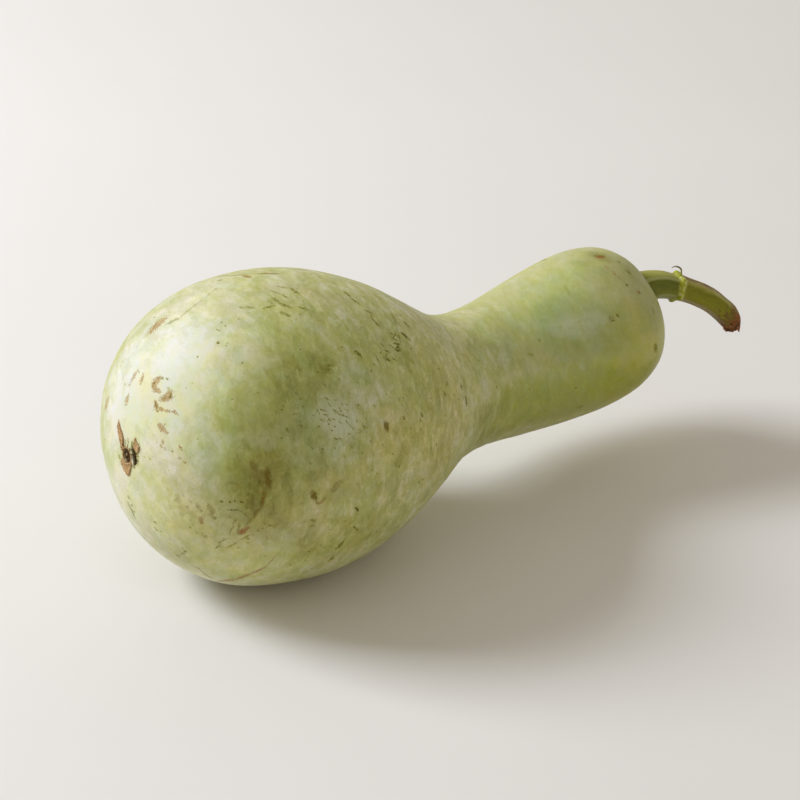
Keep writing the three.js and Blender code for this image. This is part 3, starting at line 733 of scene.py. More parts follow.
# Each mark is a soft ellipse lying in the skin: distance from the blossom end in
# mm, turn round the axis in degrees, half-length, half-width, the heading of its
# long side (0 along the fruit, 90 round it), and its strength.
MARKS = {
    "scab": [
        (21.7, 161.2, 4.9, 2.35, 25, 0.9), (8.3, -170.7, 2.58, 1.24, 25, 1), (7, -170.2, 2.53, 1.53, -54, 1),
        (6.9, -165.8, 2.44, 0.92, 74, 1), (7.6, -155.4, 3.51, 1.48, 30, 1), (8.8, -156.3, 2.07, 0.95, 26, 1),
        (4.9, -157.4, 2.34, 1.11, -71, 1), (5.3, -152.7, 2.73, 0.78, 55, 0.9), (6.4, -147.5, 2.57, 0.64, 44, 0.8),
        (8, -142.8, 1.89, 0.69, 61, 0.8), (4, -138.7, 2.37, 1.33, 62, 0.95), (4.5, -133.9, 1.66, 0.75, 50, 0.9),
        (5.9, 162.9, 3.45, 1.1, 24, 0.7), (6.4, 174.5, 2.47, 1.06, -10, 0.75), (2.6, 158.8, 2.59, 1.22, 30, 0.8),
        (4.6, 111, 3.32, 1.74, 79, 0.7), (3.4, -126.7, 1.05, 0.73, 79, 0.8), (3, -123.1, 0.95, 0.64, 53, 0.7),
        (3.5, -120, 0.87, 0.6, 68, 0.6), (6.8, -118.8, 1.38, 0.77, 59, 0.9), (6.2, -111.5, 0.95, 0.58, 39, 0.7),
        (7.3, -108.5, 0.97, 0.57, 42, 0.7), (54.4, -94.6, 1.61, 0.57, 64, 0.5), (277.8, -162.2, 1.31, 0.81, 76, 0.6),
        (278.8, -154.7, 1.27, 0.75, 88, 0.7), (279.8, -149.4, 1.51, 0.69, 65, 0.6),
        (285.4, -132.2, 1.65, 0.91, 58, 0.7),
    ],
    "rust": [
        (28.5, -77.2, 1.61, 0.91, -54, 0.8), (27.4, -75.2, 2.72, 1.32, -61, 1), (31.7, -95.1, 2.87, 0.44, 10, 0.35),
        (33.3, -92.3, 2.23, 0.55, -79, 0.4), (35.9, -34.6, 6.93, 1.32, -78, 0.7),
        (38.3, -44.4, 7.18, 1.22, -78, 0.7), (41.3, -52.9, 5.44, 0.94, -69, 0.7),
        (43.7, -60.4, 5.31, 0.51, -81, 0.5), (67.9, 167.9, 2.85, 1.18, 77, 0.9), (13, -72.6, 2.05, 1.1, 68, 0.6),
        (279, -176.2, 2.14, 1.45, 14, 0.95), (20.8, 160, 2.85, 0.8, -10, 0.8), (61.2, -89.6, 2.12, 0.63, -30, 0.6),
    ],
    "brown": [
        (279.2, -177.5, 3.82, 2.12, 25, 0.75), (29.5, -105.8, 3.28, 1.48, 62, 0.6),
        (29.1, -102, 2.42, 0.63, 78, 0.5), (34.9, -100.8, 5.43, 1.8, 86, 1), (33.6, -102.9, 2.49, 1.28, 30, 0.75),
        (31.6, -100, 4.86, 1.82, 64, 0.5), (33.5, -95.3, 3.68, 1.25, -82, 0.75), (32.9, -91.6, 3.97, 1.14, -81, 0.9),
        (31.2, -86.4, 3.89, 1.06, -66, 0.8), (27, -89.7, 5.23, 0.68, -85, 0.65), (27.7, -83.6, 2.51, 0.59, 56, 0.5),
        (28.7, -80.8, 3.52, 0.63, -68, 0.55), (29.6, -89.8, 4.44, 3.11, 53, 0.3),
        (27.7, -82.6, 3.28, 1.61, -79, 0.25), (25.5, -75.7, 3.55, 0.68, 87, 0.5),
        (23.6, -79.5, 3.51, 0.46, -79, 0.6), (23, -74, 2.94, 0.46, -87, 0.6), (14.7, -82.8, 2.26, 1.47, 61, 0.5),
        (15.7, -80.7, 2.47, 1.09, 83, 0.6), (15.8, -78.9, 1.7, 0.87, 32, 0.5), (11.3, -81, 1.69, 1.02, 61, 0.4),
        (16.8, -78.1, 1.05, 0.72, 51, 0.6), (8, -73.5, 3.87, 2.22, -8, 0.28), (15.6, -63.6, 1.77, 1.12, 39, 0.4),
        (6.3, -78.3, 3, 1.63, 49, 0.3), (56.9, -92.7, 3.1, 1.39, 66, 0.95), (58.5, -89.9, 2.12, 0.68, 48, 0.7),
        (69.1, -95.1, 3.85, 1.7, -39, 0.5), (62.6, -91.3, 1.68, 1.13, -57, 0.3), (100.6, -112.3, 2.53, 1.64, 84, 1),
        (279.4, -177.5, 7.1, 4.14, 65, 0.35), (3.5, 2.6, 2.38, 1.04, -46, 0.65), (4.6, -1.2, 3.21, 1.04, -19, 0.65),
        (25.1, 169.7, 4.5, 0.87, 41, 0.5), (30.2, 172, 3.64, 0.62, -1, 0.45), (36.9, 171.9, 4.78, 0.66, -3, 0.45),
        (46, 170.3, 6.21, 0.69, -19, 0.35), (56.9, 162.1, 1.74, 1.25, 63, 0.6), (63, 156.8, 3.33, 1.18, 59, 0.7),
        (66.1, 163.2, 4.58, 1.11, 48, 0.5), (78.6, 170.1, 5.41, 1.32, 35, 0.65), (14.7, -36, 7.77, 0.53, 85, 0.4),
        (27, -31.8, 6.2, 1.11, 27, 0.4), (264.7, -123.4, 1.71, 1.43, 78, 0.3), (0.1, -132.6, 2.76, 1.41, 73, 0.9),
        (0.4, -131.8, 2.45, 1.1, -72, 0.5), (0, -11.5, 2.46, 0.77, 83, 0.7), (0.1, -50.4, 2.09, 0.6, -82, 0.6),
        (22, -98.6, 4.57, 0.58, -4, 0.25), (0.2, -145.9, 2.7, 1.01, 48, 0.85), (0.1, 88.8, 2.18, 1.12, 37, 0.6),
        (5.9, -77.9, 0.93, 0.67, 35, 0.5), (7.5, -72.4, 1.04, 0.8, 35, 0.4), (8.9, -77.2, 0.91, 0.63, 40, 0.45),
        (11.2, -80.7, 0.97, 0.71, 44, 0.55), (17.8, -84, 0.89, 0.58, 50, 0.4), (6.6, -30.6, 1.2, 0.99, 2, 0.6),
        (12.2, -0.2, 1.64, 1.11, 15, 0.4), (15.8, -63.6, 1.03, 0.72, 41, 0.55), (13, -62.7, 0.98, 0.68, 38, 0.35),
        (19.4, -76.4, 0.97, 0.66, 48, 0.35), (35.2, -81.2, 0.84, 0.43, 55, 0.55),
        (37.7, -73.8, 0.98, 0.55, 54, 0.55), (2.1, 1.5, 1.16, 0.92, -62, 0.5), (12.9, -98.2, 0.74, 0.42, 55, 0.3),
        (10.3, -73.7, 1.74, 1.73, 40, 0.28), (7.8, -68.5, 1.6, 1.55, 33, 0.25), (4, -82.2, 0.84, 0.55, 34, 0.3),
        (7.1, -102.3, 0.77, 0.46, 53, 0.3), (25, -68, 0.92, 0.51, 49, 0.4), (5.4, -94.6, 0.78, 0.46, 46, 0.3),
        (27.8, -99.6, 4.54, 0.59, -85, 0.5), (27.3, -91.6, 5.05, 0.59, -87, 0.5),
        (30.7, -96.4, 7.27, 2.48, -87, 0.22), (31.9, -95.5, 2.65, 0.44, 11, 0.5), (6, -76.2, 1.15, 0.87, 32, 0.35),
        (7.2, -84.2, 1.01, 0.68, 39, 0.3), (9.1, -82.2, 1.09, 0.79, 41, 0.35), (8.7, -76, 0.98, 0.64, 36, 0.5),
        (12.3, -79.4, 1.03, 0.7, 43, 0.45), (13.4, -74.8, 0.92, 0.54, 41, 0.5), (11.5, -73.2, 0.98, 0.62, 39, 0.4),
        (14.8, -79, 0.94, 0.57, 44, 0.35),
    ],
    "dark": [
        (31, -161.6, 0.88, 0.55, 65, 0.9), (33.1, -158.6, 0.73, 0.41, 56, 0.7), (9.3, -158.8, 1.36, 0.65, 83, 0.35),
        (9.6, -167.7, 0.85, 0.58, -86, 0.7), (10.4, -164.6, 0.94, 0.44, 77, 0.6), (8.7, -154, 1.45, 0.53, -35, 0.7),
        (4.9, -157.9, 1.6, 0.49, -63, 0.7), (7.2, -171.3, 1.5, 0.48, -22, 0.5), (7.4, 166.9, 1.44, 0.51, -69, 0.4),
        (4.9, -116.8, 0.87, 0.52, 55, 0.6), (18, -88.5, 0.91, 0.58, 5, 0.8), (21, -89.2, 0.78, 0.5, 19, 0.7),
        (22.7, -90.1, 0.84, 0.49, 9, 0.75), (24.9, -90.1, 1.38, 0.46, 9, 0.75), (22.3, -85.5, 3.03, 0.34, -13, 0.7),
        (25.9, -84.8, 2.55, 0.34, 37, 0.6), (74.4, -136.6, 2.98, 1.33, 28, 0.5), (76.2, -137.6, 2.39, 0.84, 8, 0.45),
        (73.6, -135.6, 1.86, 0.61, 31, 0.35), (82.6, -83.7, 1.6, 0.67, 52, 0.95), (57.7, -82.3, 1.28, 0.67, 33, 0.6),
        (57.6, -79.9, 1.3, 0.7, -11, 0.5), (84.4, -74.3, 2.68, 0.52, 49, 0.75), (78, -66.9, 3.06, 0.79, -64, 0.7),
        (76.6, -58.8, 2.39, 1.06, -79, 0.5), (21, -61, 2.49, 0.34, -79, 0.6), (21.8, -66.4, 2.76, 0.35, -58, 0.5),
        (25.4, -65.8, 3.55, 0.36, -62, 0.5), (29, -72.2, 3.73, 0.38, -51, 0.55), (5.2, -34.6, 1.08, 0.71, 2, 0.4),
        (61.7, -167.4, 2.83, 0.76, 2, 0.6), (67.2, -170.2, 2.29, 0.95, 74, 0.5),
        (69.4, -166.1, 3.34, 0.87, 55, 0.55), (80.7, -173.1, 2.91, 0.86, 74, 0.6), (76, -177, 2.65, 0.74, 42, 0.45),
        (77.9, -162.5, 2.66, 0.71, 41, 0.6), (53.3, -170.5, 2.31, 0.78, 46, 0.45),
        (64.3, -169.3, 1.96, 1.09, 65, 0.35), (67.1, -161.1, 1.68, 0.83, 65, 0.5),
        (65.5, -162.6, 1.52, 0.74, 44, 0.5), (49.9, -172.2, 1.67, 0.7, 58, 0.45),
        (70.6, -174.5, 2.73, 0.69, 62, 0.5), (73.3, -170.9, 2.22, 0.68, 78, 0.5),
        (107.9, -169.9, 2.4, 0.95, 75, 0.6), (109, -165.6, 2.77, 0.77, 58, 0.6),
        (95.1, -140.3, 2.18, 0.81, 52, 0.75), (110.4, -137.5, 1.79, 0.65, 32, 0.6),
        (113.4, -152.8, 1.1, 0.84, 48, 0.6), (52.6, -119, 1.29, 0.42, 58, 0.6), (51.2, -123.6, 2.15, 0.36, 5, 0.35),
        (126.3, -147.4, 2.91, 0.86, 45, 0.95), (119.2, -143.5, 2.26, 0.65, 11, 0.85),
        (118.4, -141.8, 2.16, 0.47, -25, 0.8), (118.2, -140.5, 1.87, 0.59, 8, 0.8),
        (110.3, -137.1, 1.9, 0.62, 33, 0.8), (125.4, -157.3, 3.03, 0.86, -85, 0.4),
        (111.4, -113.8, 1.05, 0.75, 60, 0.85), (122.2, -112.7, 1.23, 0.65, 73, 0.7),
        (114.6, -108.8, 0.87, 0.46, 45, 0.5), (154.1, -110.8, 2.22, 0.95, 84, 0.85),
        (152.4, -119.4, 1.5, 1.01, 72, 0.5), (138.7, -118.6, 1.18, 0.7, 68, 0.5), (97.3, -105.9, 0.8, 0.41, 48, 0.4),
        (281.4, -141.3, 0.82, 0.57, 65, 0.75), (286.8, -153.4, 1.7, 1.23, 79, 0.4),
        (285.7, -167.2, 1.1, 0.97, 63, 0.4), (268.4, -123.7, 1, 0.62, 75, 0.85), (265, -121.8, 1.24, 0.35, 15, 0.6),
        (264.1, -124.9, 0.9, 0.37, -80, 0.45), (219.7, -134.2, 0.89, 0.53, 81, 0.4),
        (210.2, -126.7, 1.39, 0.67, 40, 0.3), (282.7, -79.7, 3.03, 1.55, 86, 0.55),
        (288.8, -110.6, 1.47, 1.17, -84, 0.3), (233.6, -87.4, 0.97, 0.52, 47, 0.3),
        (237.1, -64.6, 1.66, 1.05, 20, 0.25), (257.7, 152, 1.76, 1.25, 60, 0.7),
        (285.5, -131.9, 0.86, 0.56, 65, 0.5), (251.4, -157.6, 3.86, 0.77, -78, 0.16),
        (120.1, -147.9, 2.44, 0.48, 22, 0.7), (119.6, -145.5, 2.14, 0.46, 27, 0.7),
        (119.8, -147.4, 3.9, 0.35, -46, 0.7), (122.2, -146, 2.99, 0.47, -73, 0.7),
        (115.8, -142.3, 1.82, 0.44, 34, 0.7), (119.3, -142.2, 1.72, 0.47, 77, 0.7),
        (112, -140.4, 1.76, 0.39, 23, 0.7), (110.9, -139, 1.44, 0.3, -36, 0.7), (112.7, -155, 1.72, 0.52, 65, 0.7),
        (130.8, -154.3, 2.16, 0.66, 60, 0.7), (110.6, -143.3, 1.31, 0.44, 56, 0.7),
        (112.7, -159.5, 2.03, 0.56, 34, 0.7), (104.9, -137.3, 1.56, 0.39, 87, 0.7),
        (114.1, -137.1, 1.56, 0.41, 41, 0.7), (46.3, -127.6, 0.75, 0.35, 71, 0.42),
        (49.9, -129.3, 0.75, 0.35, 71, 0.42), (42.4, -125.7, 0.74, 0.34, 70, 0.42),
        (54.1, -130.8, 0.76, 0.36, 72, 0.42), (52.7, -120.7, 0.75, 0.35, 67, 0.42),
        (56.6, -110.5, 0.77, 0.35, 62, 0.42), (61.6, -108.1, 0.79, 0.35, 61, 0.42),
        (69.1, -109, 0.8, 0.36, 61, 0.42), (74, -105.5, 0.82, 0.36, 60, 0.42), (79.2, -108.1, 0.82, 0.37, 61, 0.42),
        (84.9, -105.1, 0.85, 0.38, 59, 0.42), (90.8, -108.5, 0.86, 0.39, 59, 0.42),
        (84, -113.8, 0.82, 0.38, 62, 0.42), (89.7, -116.6, 0.83, 0.4, 62, 0.42),
        (95.7, -120.5, 0.84, 0.43, 63, 0.42), (83, -126.8, 0.8, 0.4, 67, 0.42), (89.3, -130.1, 0.81, 0.42, 68, 0.42),
        (79.5, -132.3, 0.79, 0.4, 71, 0.42), (70.5, -131.3, 0.78, 0.38, 71, 0.42),
        (78.5, -137.3, 0.8, 0.4, 74, 0.42), (68.9, -136.3, 0.78, 0.39, 74, 0.42),
        (88.6, -141.2, 0.83, 0.45, 75, 0.42), (55.8, -125.7, 0.76, 0.36, 69, 0.42), (46, -118, 0.75, 0.34, 66, 0.42),
        (49.2, -112.1, 0.76, 0.34, 63, 0.42), (54.9, -105.2, 0.79, 0.34, 61, 0.42),
        (39.5, -109.4, 0.75, 0.34, 62, 0.42), (36.4, -115.6, 0.74, 0.34, 65, 0.42),
        # The first mark below lies along the scar's crevice: partly dry tissue, partly painted shade in the crevice.
        (0.1, -110.3, 4.15, 2.1, 86, 0.9), (0, 127.8, 1.6, 0.53, 15, 0.8), (0, 165.5, 1.59, 0.55, -4, 0.8),
        (0.1, -165.5, 1.61, 0.49, -8, 0.8), (0.1, -155.3, 1.54, 0.45, -3, 0.7), (0.1, -55.2, 1.77, 0.59, -40, 0.6),
        (5.1, -35, 1.08, 0.66, -65, 0.6), (20.8, -63.9, 0.78, 0.52, -4, 0.5), (22.1, -61.9, 0.75, 0.47, -4, 0.5),
        (14.5, -41.1, 1, 0.76, -41, 0.6), (14.9, -37.7, 0.94, 0.66, -46, 0.4), (15.5, -30.3, 1.1, 0.82, -58, 0.4),
        (30.2, -71.8, 0.75, 0.47, 11, 0.5), (30.4, -69.5, 0.77, 0.49, 10, 0.5), (33.2, -77, 0.71, 0.41, 15, 0.6),
        (34.6, -78.3, 0.67, 0.34, 17, 0.5), (21.8, -67.7, 0.71, 0.43, 0, 0.4), (13.6, -71.7, 0.73, 0.44, -8, 0.5),
        (16.7, -77.5, 0.74, 0.47, 0, 0.5), (21.6, -81.4, 0.64, 0.34, 8, 0.4), (31.3, -74.4, 0.67, 0.36, 13, 0.4),
        (3, -3, 1.33, 0.63, 75, 0.5), (3.9, -4, 1.44, 0.75, 75, 0.5), (7.1, -34.9, 0.98, 0.57, -62, 0.4),
        (27.9, -65.1, 0.71, 0.42, 6, 0.4), (41.7, -82.8, 0.69, 0.35, 21, 0.35), (48.7, -76.7, 0.74, 0.37, 24, 0.35),
        (53.4, -82.1, 0.73, 0.35, 26, 0.35), (68.7, -76.8, 0.83, 0.37, 31, 0.4), (76.6, -79.7, 0.83, 0.35, 32, 0.4),
        (65.8, -69.2, 0.92, 0.43, 33, 0.4), (90.5, -97.7, 0.76, 0.3, 30, 0.4), (100.2, -98.7, 0.78, 0.28, 30, 0.4),
        (105.9, -102.8, 0.79, 0.28, 29, 0.4), (115.2, -105, 0.83, 0.29, 28, 0.4), (121, -110.6, 0.84, 0.3, 25, 0.4),
        (113, -116.2, 0.79, 0.33, 25, 0.45), (110.9, -121.3, 0.78, 0.34, 24, 0.4),
        (129.1, -118.3, 0.89, 0.34, 22, 0.35), (137.2, -108.4, 1.03, 0.33, 24, 0.35),
        (127.9, -126.5, 0.86, 0.37, 20, 0.35), (139, -131.2, 1, 0.45, 15, 0.35), (0.2, -134.2, 1.21, 0.96, 79, 0.8),
        # The first mark below also lies in the scar's crevice: partly dry tissue, partly painted shade.
        (0.2, -110, 1.07, 0.79, 56, 0.7), (0.3, 56.3, 1.17, 0.89, 65, 0.6), (0.3, 39.2, 1.16, 0.89, 84, 0.6),
        (0.1, -52.4, 1.04, 0.75, 0, 0.5), (0.3, -136.9, 0.96, 0.63, 82, 0.6), (0, 140.3, 1.02, 0.7, -18, 0.5),
        (69.6, -126.6, 1.06, 0.29, 44, 0.6), (70.1, -124.2, 1.05, 0.3, 67, 0.6),
        (63.2, -122.8, 1.25, 0.32, 75, 0.65), (66.3, -122.8, 1.06, 0.29, 43, 0.6),
        (66.6, -120.9, 1.3, 0.3, 36, 0.65), (64.1, -119.5, 1.07, 0.28, 43, 0.6),
        (72.4, -121.8, 1.24, 0.32, 54, 0.65), (74.3, -120.3, 2.01, 0.26, 25, 0.6),
        (78.7, -118.9, 2.11, 0.26, 31, 0.6), (75.7, -121.6, 1.25, 0.3, 74, 0.55),
        (79.2, -121.2, 1.32, 0.29, 35, 0.55), (70.6, -119, 1.31, 0.28, 35, 0.6), (74, -117.5, 1.1, 0.28, 41, 0.6),
        (77.9, -117.2, 1.08, 0.3, 64, 0.6), (63.2, -125.9, 1.04, 0.29, 69, 0.5), (73.9, -125.5, 0.97, 0.26, 28, 0.5),
        (67.4, -118, 1.25, 0.29, 72, 0.5), (80.1, -115.4, 1.13, 0.29, 41, 0.5), (70.8, -112.1, 1.53, 0.29, 21, 0.7),
        (83.9, -116.8, 1.1, 0.31, 63, 0.5), (60.1, -121.6, 1.04, 0.29, 67, 0.5), (77.6, -123.5, 0.87, 0.28, 54, 0.5),
        (73.4, -137, 2.99, 1.37, 50, 0.4), (87.5, -114.4, 1.51, 0.59, 69, 0.45), (64.9, -123.2, 0.63, 0.35, 33, 0.6),
        (67.6, -121.1, 0.63, 0.35, 32, 0.6), (68.6, -118.8, 0.63, 0.35, 32, 0.6),
        (70.5, -116.5, 0.64, 0.35, 32, 0.6), (74.1, -121, 0.64, 0.35, 32, 0.6), (76.7, -119.9, 0.64, 0.35, 32, 0.6),
        (78.3, -119, 0.65, 0.35, 32, 0.6), (78.4, -113, 0.65, 0.35, 31, 0.6), (70.3, -111.9, 0.64, 0.34, 31, 0.6),
        (72.7, -111.9, 0.65, 0.34, 31, 0.6), (68.8, -115.3, 0.64, 0.34, 31, 0.6),
        (64.2, -119.4, 0.63, 0.35, 32, 0.6), (62, -117.5, 0.62, 0.34, 32, 0.6), (81.2, -114.4, 0.66, 0.35, 31, 0.6),
        (88.6, -112.3, 0.69, 0.35, 30, 0.6), (86.7, -122.2, 0.67, 0.37, 30, 0.6), (80.3, -123, 0.65, 0.36, 32, 0.6),
        (75.6, -120, 2.6, 0.26, 26, 0.6), (86.9, -113.3, 3.79, 0.59, -15, 0.25),
    ],
    "pale": [
        # The marks at s 70.8 to 75.1 below face the camera mid-bulb: partly waxy bloom, partly a painted reflection of
        # a cool light at the front right.
        (72.8, -118.4, 11.3, 8.6, 45, 0.75), (70.8, -124.7, 6.4, 4.84, 41, 0.4), (75.1, -113.5, 7.23, 4.09, 17, 0.5),
        (87.7, -112.7, 1.59, 0.95, 36, 0.7), (99.5, -114.4, 3.89, 1.73, 32, 0.3),
        (41.5, -148.5, 11.06, 4.29, 35, 0.3), (48.9, -172.5, 9.35, 5.1, 29, 0.32),
        (80.9, 179.7, 10.44, 5.21, 28, 0.25), (75.2, -155.2, 8.6, 3.78, 52, 0.35),
        (90.1, -138.3, 7.78, 2.05, 82, 0.45), (101.2, -125.3, 6.81, 1.79, 59, 0.4),
        (34.5, -116.2, 6.74, 3.61, 36, 0.28), (44.8, -75.3, 7.48, 3.44, 28, 0.28),
        (81.9, -145.6, 4.95, 1.74, 71, 0.35), (30.5, -55.9, 7.24, 3.48, -21, 0.3),
        (44.2, -69.3, 5.67, 3.23, -17, 0.3), (29.6, -91.1, 1.83, 0.69, 70, 0.25),
        (192.4, -131.3, 5.11, 3.05, -82, 0.6), (188.8, -129.6, 2.63, 2.08, 42, 0.45),
        # The marks at s 244 and 254 below face the camera on the neck: partly waxy bloom, partly a painted reflection.
        (172.8, -116.3, 3.86, 2.81, 86, 0.6), (244.1, -130.3, 12.59, 5.98, 24, 0.42),
        (254, -130.3, 10.66, 4.01, 24, 0.35), (239.8, -102.1, 2.96, 1.23, 55, 0.25),
    ],
}

# Broad soft patches, placed and judged. A kind of skin says how much lighter,
# redder and bluer it is than the rest, and a patch says how strongly it is each kind.
SKIN_KINDS = {
    "pale": (0.28, -0.02, -0.06),
    "deep": (-0.20, 0.00, 0.00),
    "green": (-0.08, -0.06, 0.00),
    "warm": (-0.06, 0.05, 0.00),
    "yellow": (0.00, 0.00, -0.24),
    "bluish_tint": (0.00, 0.00, 0.20),
}
BROAD_BASE = (0.56, 0.03, 0.08)
BROAD = [
    # The pale patches over the blossom end's upper side, at turns -143 and -168, are partly waxy skin and partly
    # painted sheen where the lamp falls.
    ((3, -143, 50, 33, -14), {"pale": 0.9}),
    ((3, 2, 22, 12, -61), {"pale": 0.5}),
    ((2, 110, 18, 9, 39), {"pale": 0.5}),
    ((14, -124, 34, 16, 88), {"pale": 0.25, "green": 0.25}),
    ((20, -168, 48, 25, 1), {"pale": 0.75}),
    ((20, -58, 44, 17, 10), {"pale": 0.5, "yellow": 1}),
    ((44, -125, 49, 23, -84), {"deep": 0.5, "green": 0.25, "yellow": 0.25}),
    ((42, -134, 23, 12, -17), {"deep": 0.5, "yellow": 0.25}),
    ((19, -117, 22, 14, -86), {"deep": 0.5, "green": 0.5}),
    ((53, -123, 28, 12, -77), {"deep": 0.5, "green": 0.25}),
    ((32, -97, 19, 11, 77), {"warm": 1, "deep": 1, "yellow": 0.75}),
    ((71, -169, 35, 13, 19), {"warm": 0.5, "deep": 0.25, "bluish_tint": 0.25}),
    ((67, -169, 15, 8, 34), {"green": 0.5, "yellow": 0.5}),
    ((79, -147, 26, 14, 39), {"green": 0.75, "yellow": 0.5}),
    # Bluer and paler where the bulb faces the camera: partly waxy bloom, partly a painted reflection.
    ((72, -119, 22, 17, -21), {"bluish_tint": 0.75, "green": 0.75, "pale": 0.25}),
    ((96, -84, 33, 16, 60), {"deep": 0.25, "yellow": 0.25}),
    ((71, -70, 24, 13, 5), {"deep": 0.75, "warm": 0.5, "yellow": 0.5}),
    ((16, -80, 28, 17, 12), {"warm": 0.75, "deep": 0.25, "bluish_tint": 0.5}),
    ((46, -77, 12, 8, -29), {"warm": 0.5, "bluish_tint": 0.5}),
    ((64, -94, 16, 11, -24), {"warm": 1, "yellow": 0.25}),
    ((106, -106, 18, 13, 14), {"warm": 1, "yellow": 0.5}),
    ((118, -138, 31, 16, 61), {"green": 0.75, "yellow": 0.25}),
    ((134, -114, 34, 16, 75), {"warm": 1, "deep": 0.25, "yellow": 0.25}),
    ((147, -167, 23, 11, 57), {"bluish_tint": 1, "deep": 0.25}),
    ((4, 150, 18, 13, 9), {"pale": 0.5, "bluish_tint": 0.75}),
    ((18, -174, 17, 13, -34), {"bluish_tint": 1}),
    ((50, 172, 22, 11, -3), {"pale": 0.5, "yellow": 0.25}),
    ((236, -171, 49, 8, -2), {"pale": 0.25, "yellow": 0.5}),
    ((218, -154, 39, 12, -13), {"green": 1}),
    ((214, -83, 60, 12, 5), {"deep": 1, "yellow": 0.5, "green": 0.25}),
    ((224, -90, 33, 11, 8), {"green": 1, "yellow": 1, "pale": 0.5}),
    ((269, -84, 25, 15, -65), {"yellow": 1.5, "deep": 0.5, "warm": 0.25}),
    ((248, -129, 19, 15, 27), {"green": 1.5}),
    # Bluer where the neck faces the camera: partly waxy bloom, partly a painted reflection.
    ((249, -133, 16, 7, 21), {"bluish_tint": 0.5}),
    # Darker and bluer right beside the stalk: painted shade.
    ((293, -136, 21, 11, -65), {"deep": 1, "green": 0.5, "bluish_tint": 1.25}),
    ((278, -164, 14, 11, 60), {"deep": 1, "bluish_tint": 0.5}),
    ((9, 137, 32, 15, 31), {"bluish_tint": 0.5}),
    ((2, 91, 34, 14, 85), {"bluish_tint": 0.25}),
    ((10, 30, 26, 13, -70), {"pale": 0.5, "bluish_tint": 0.25}),
    # The next two pale patches, under the blossom end and facing the floor, are partly paler skin and partly painted
    # light bounced up from the floor.
    ((20, -8, 26, 13, -48), {"pale": 1, "bluish_tint": 0.25}),
    ((40, -24, 26, 12, -33), {"pale": 0.75}),
    ((32, 155, 30, 12, 3), {"pale": 0.25, "bluish_tint": 0.75}),
]


def ellipse(m, where, row):
    """Distance squared from a mark's long axis and middle, in m2, and its half-width in m."""
    s, turn, long, wide, heading, amount = row
    s = max(s, 0.1)
    turn, heading = math.radians(turn), math.radians(heading)
    a, b = max(s - 0.05, 0.0), s + 0.05
    lengthwise = body_point(b, radius_at(b), turn) - body_point(a, radius_at(a), turn)
    lengthwise = lengthwise / np.linalg.norm(lengthwise)
    round_it = body_point(s, radius_at(s), turn + 0.002) - body_point(s, radius_at(s), turn - 0.002)
    round_it = round_it - lengthwise * (round_it @ lengthwise)
    round_it = round_it / np.linalg.norm(round_it)
    axis = (lengthwise * math.cos(heading) + round_it * math.sin(heading)) * math.sqrt(1 - (wide / long) ** 2)
    centre = to_part(body_point(s, radius_at(s), turn))
    offset = m.vmath("SUBTRACT", where, tuple(float(v) for v in centre))
    square = m.vmath("DOT_PRODUCT", offset, offset)
    if long > wide:
        along = m.vmath("DOT_PRODUCT", offset, tuple(float(v) for v in axis))
        square = m.math("SUBTRACT", square, m.math("MULTIPLY", along, along))
    return square, wide / 1000


def gathered(m, where, rows, name, low, high, kind):
    """Many marks joined into one value. They are built a few at a time in node
    groups, which Blender handles far faster than one long list of nodes."""
    total = None
    for k in range(0, len(rows), 16):
        group = Group("%s_%d" % (name, k // 16))
        inner = None
        for row in rows[k:k + 16]:
            square, wide = ellipse(group, group.where, row)
            here = group.span(square, (wide * high) ** 2, (wide * low) ** 2, 0.0, row[5])
            inner = here if inner is None else group.math(kind, inner, here)
        part = group.used_in(m, where, inner)
        total = part if total is None else m.math(kind, total, part)
    return total


def marks(m, where, rows, name, core=0.55, edge=1.25):
    """The strongest of many marks: full inside core times the half-width, nothing
    beyond edge times it."""
    return gathered(m, where, rows, name, core, edge, "MAXIMUM")


def broad(m, where):
    """How much lighter, redder and bluer the skin is, as one vector."""
    group = Group("broad_patches", "NodeSocketVector")
    total = None
    for place, kinds in BROAD:
        amounts = tuple(sum(much * SKIN_KINDS[kind][k] for kind, much in kinds.items()) for k in range(3))
        square, wide = ellipse(group, group.where, place + (1.0,))
        here = group.span(square, (wide * 1.7) ** 2, 0.0)
        part = group.vmath("SCALE", amounts, scale=here)
        total = part if total is None else group.vmath("ADD", total, part)
    return group.used_in(m, where, group.vmath("ADD", total, BROAD_BASE))


def strayed(m, where, scale, reach, detail=2.0):
    """Coordinates pushed about by noise, so that marks get ragged outlines."""
    push = m.vmath("SUBTRACT", m.noise(where, scale, detail, 0.6, colour=True), (0.5, 0.5, 0.5))
    return m.vmath("ADD", where, m.vmath("SCALE", push, scale=reach))


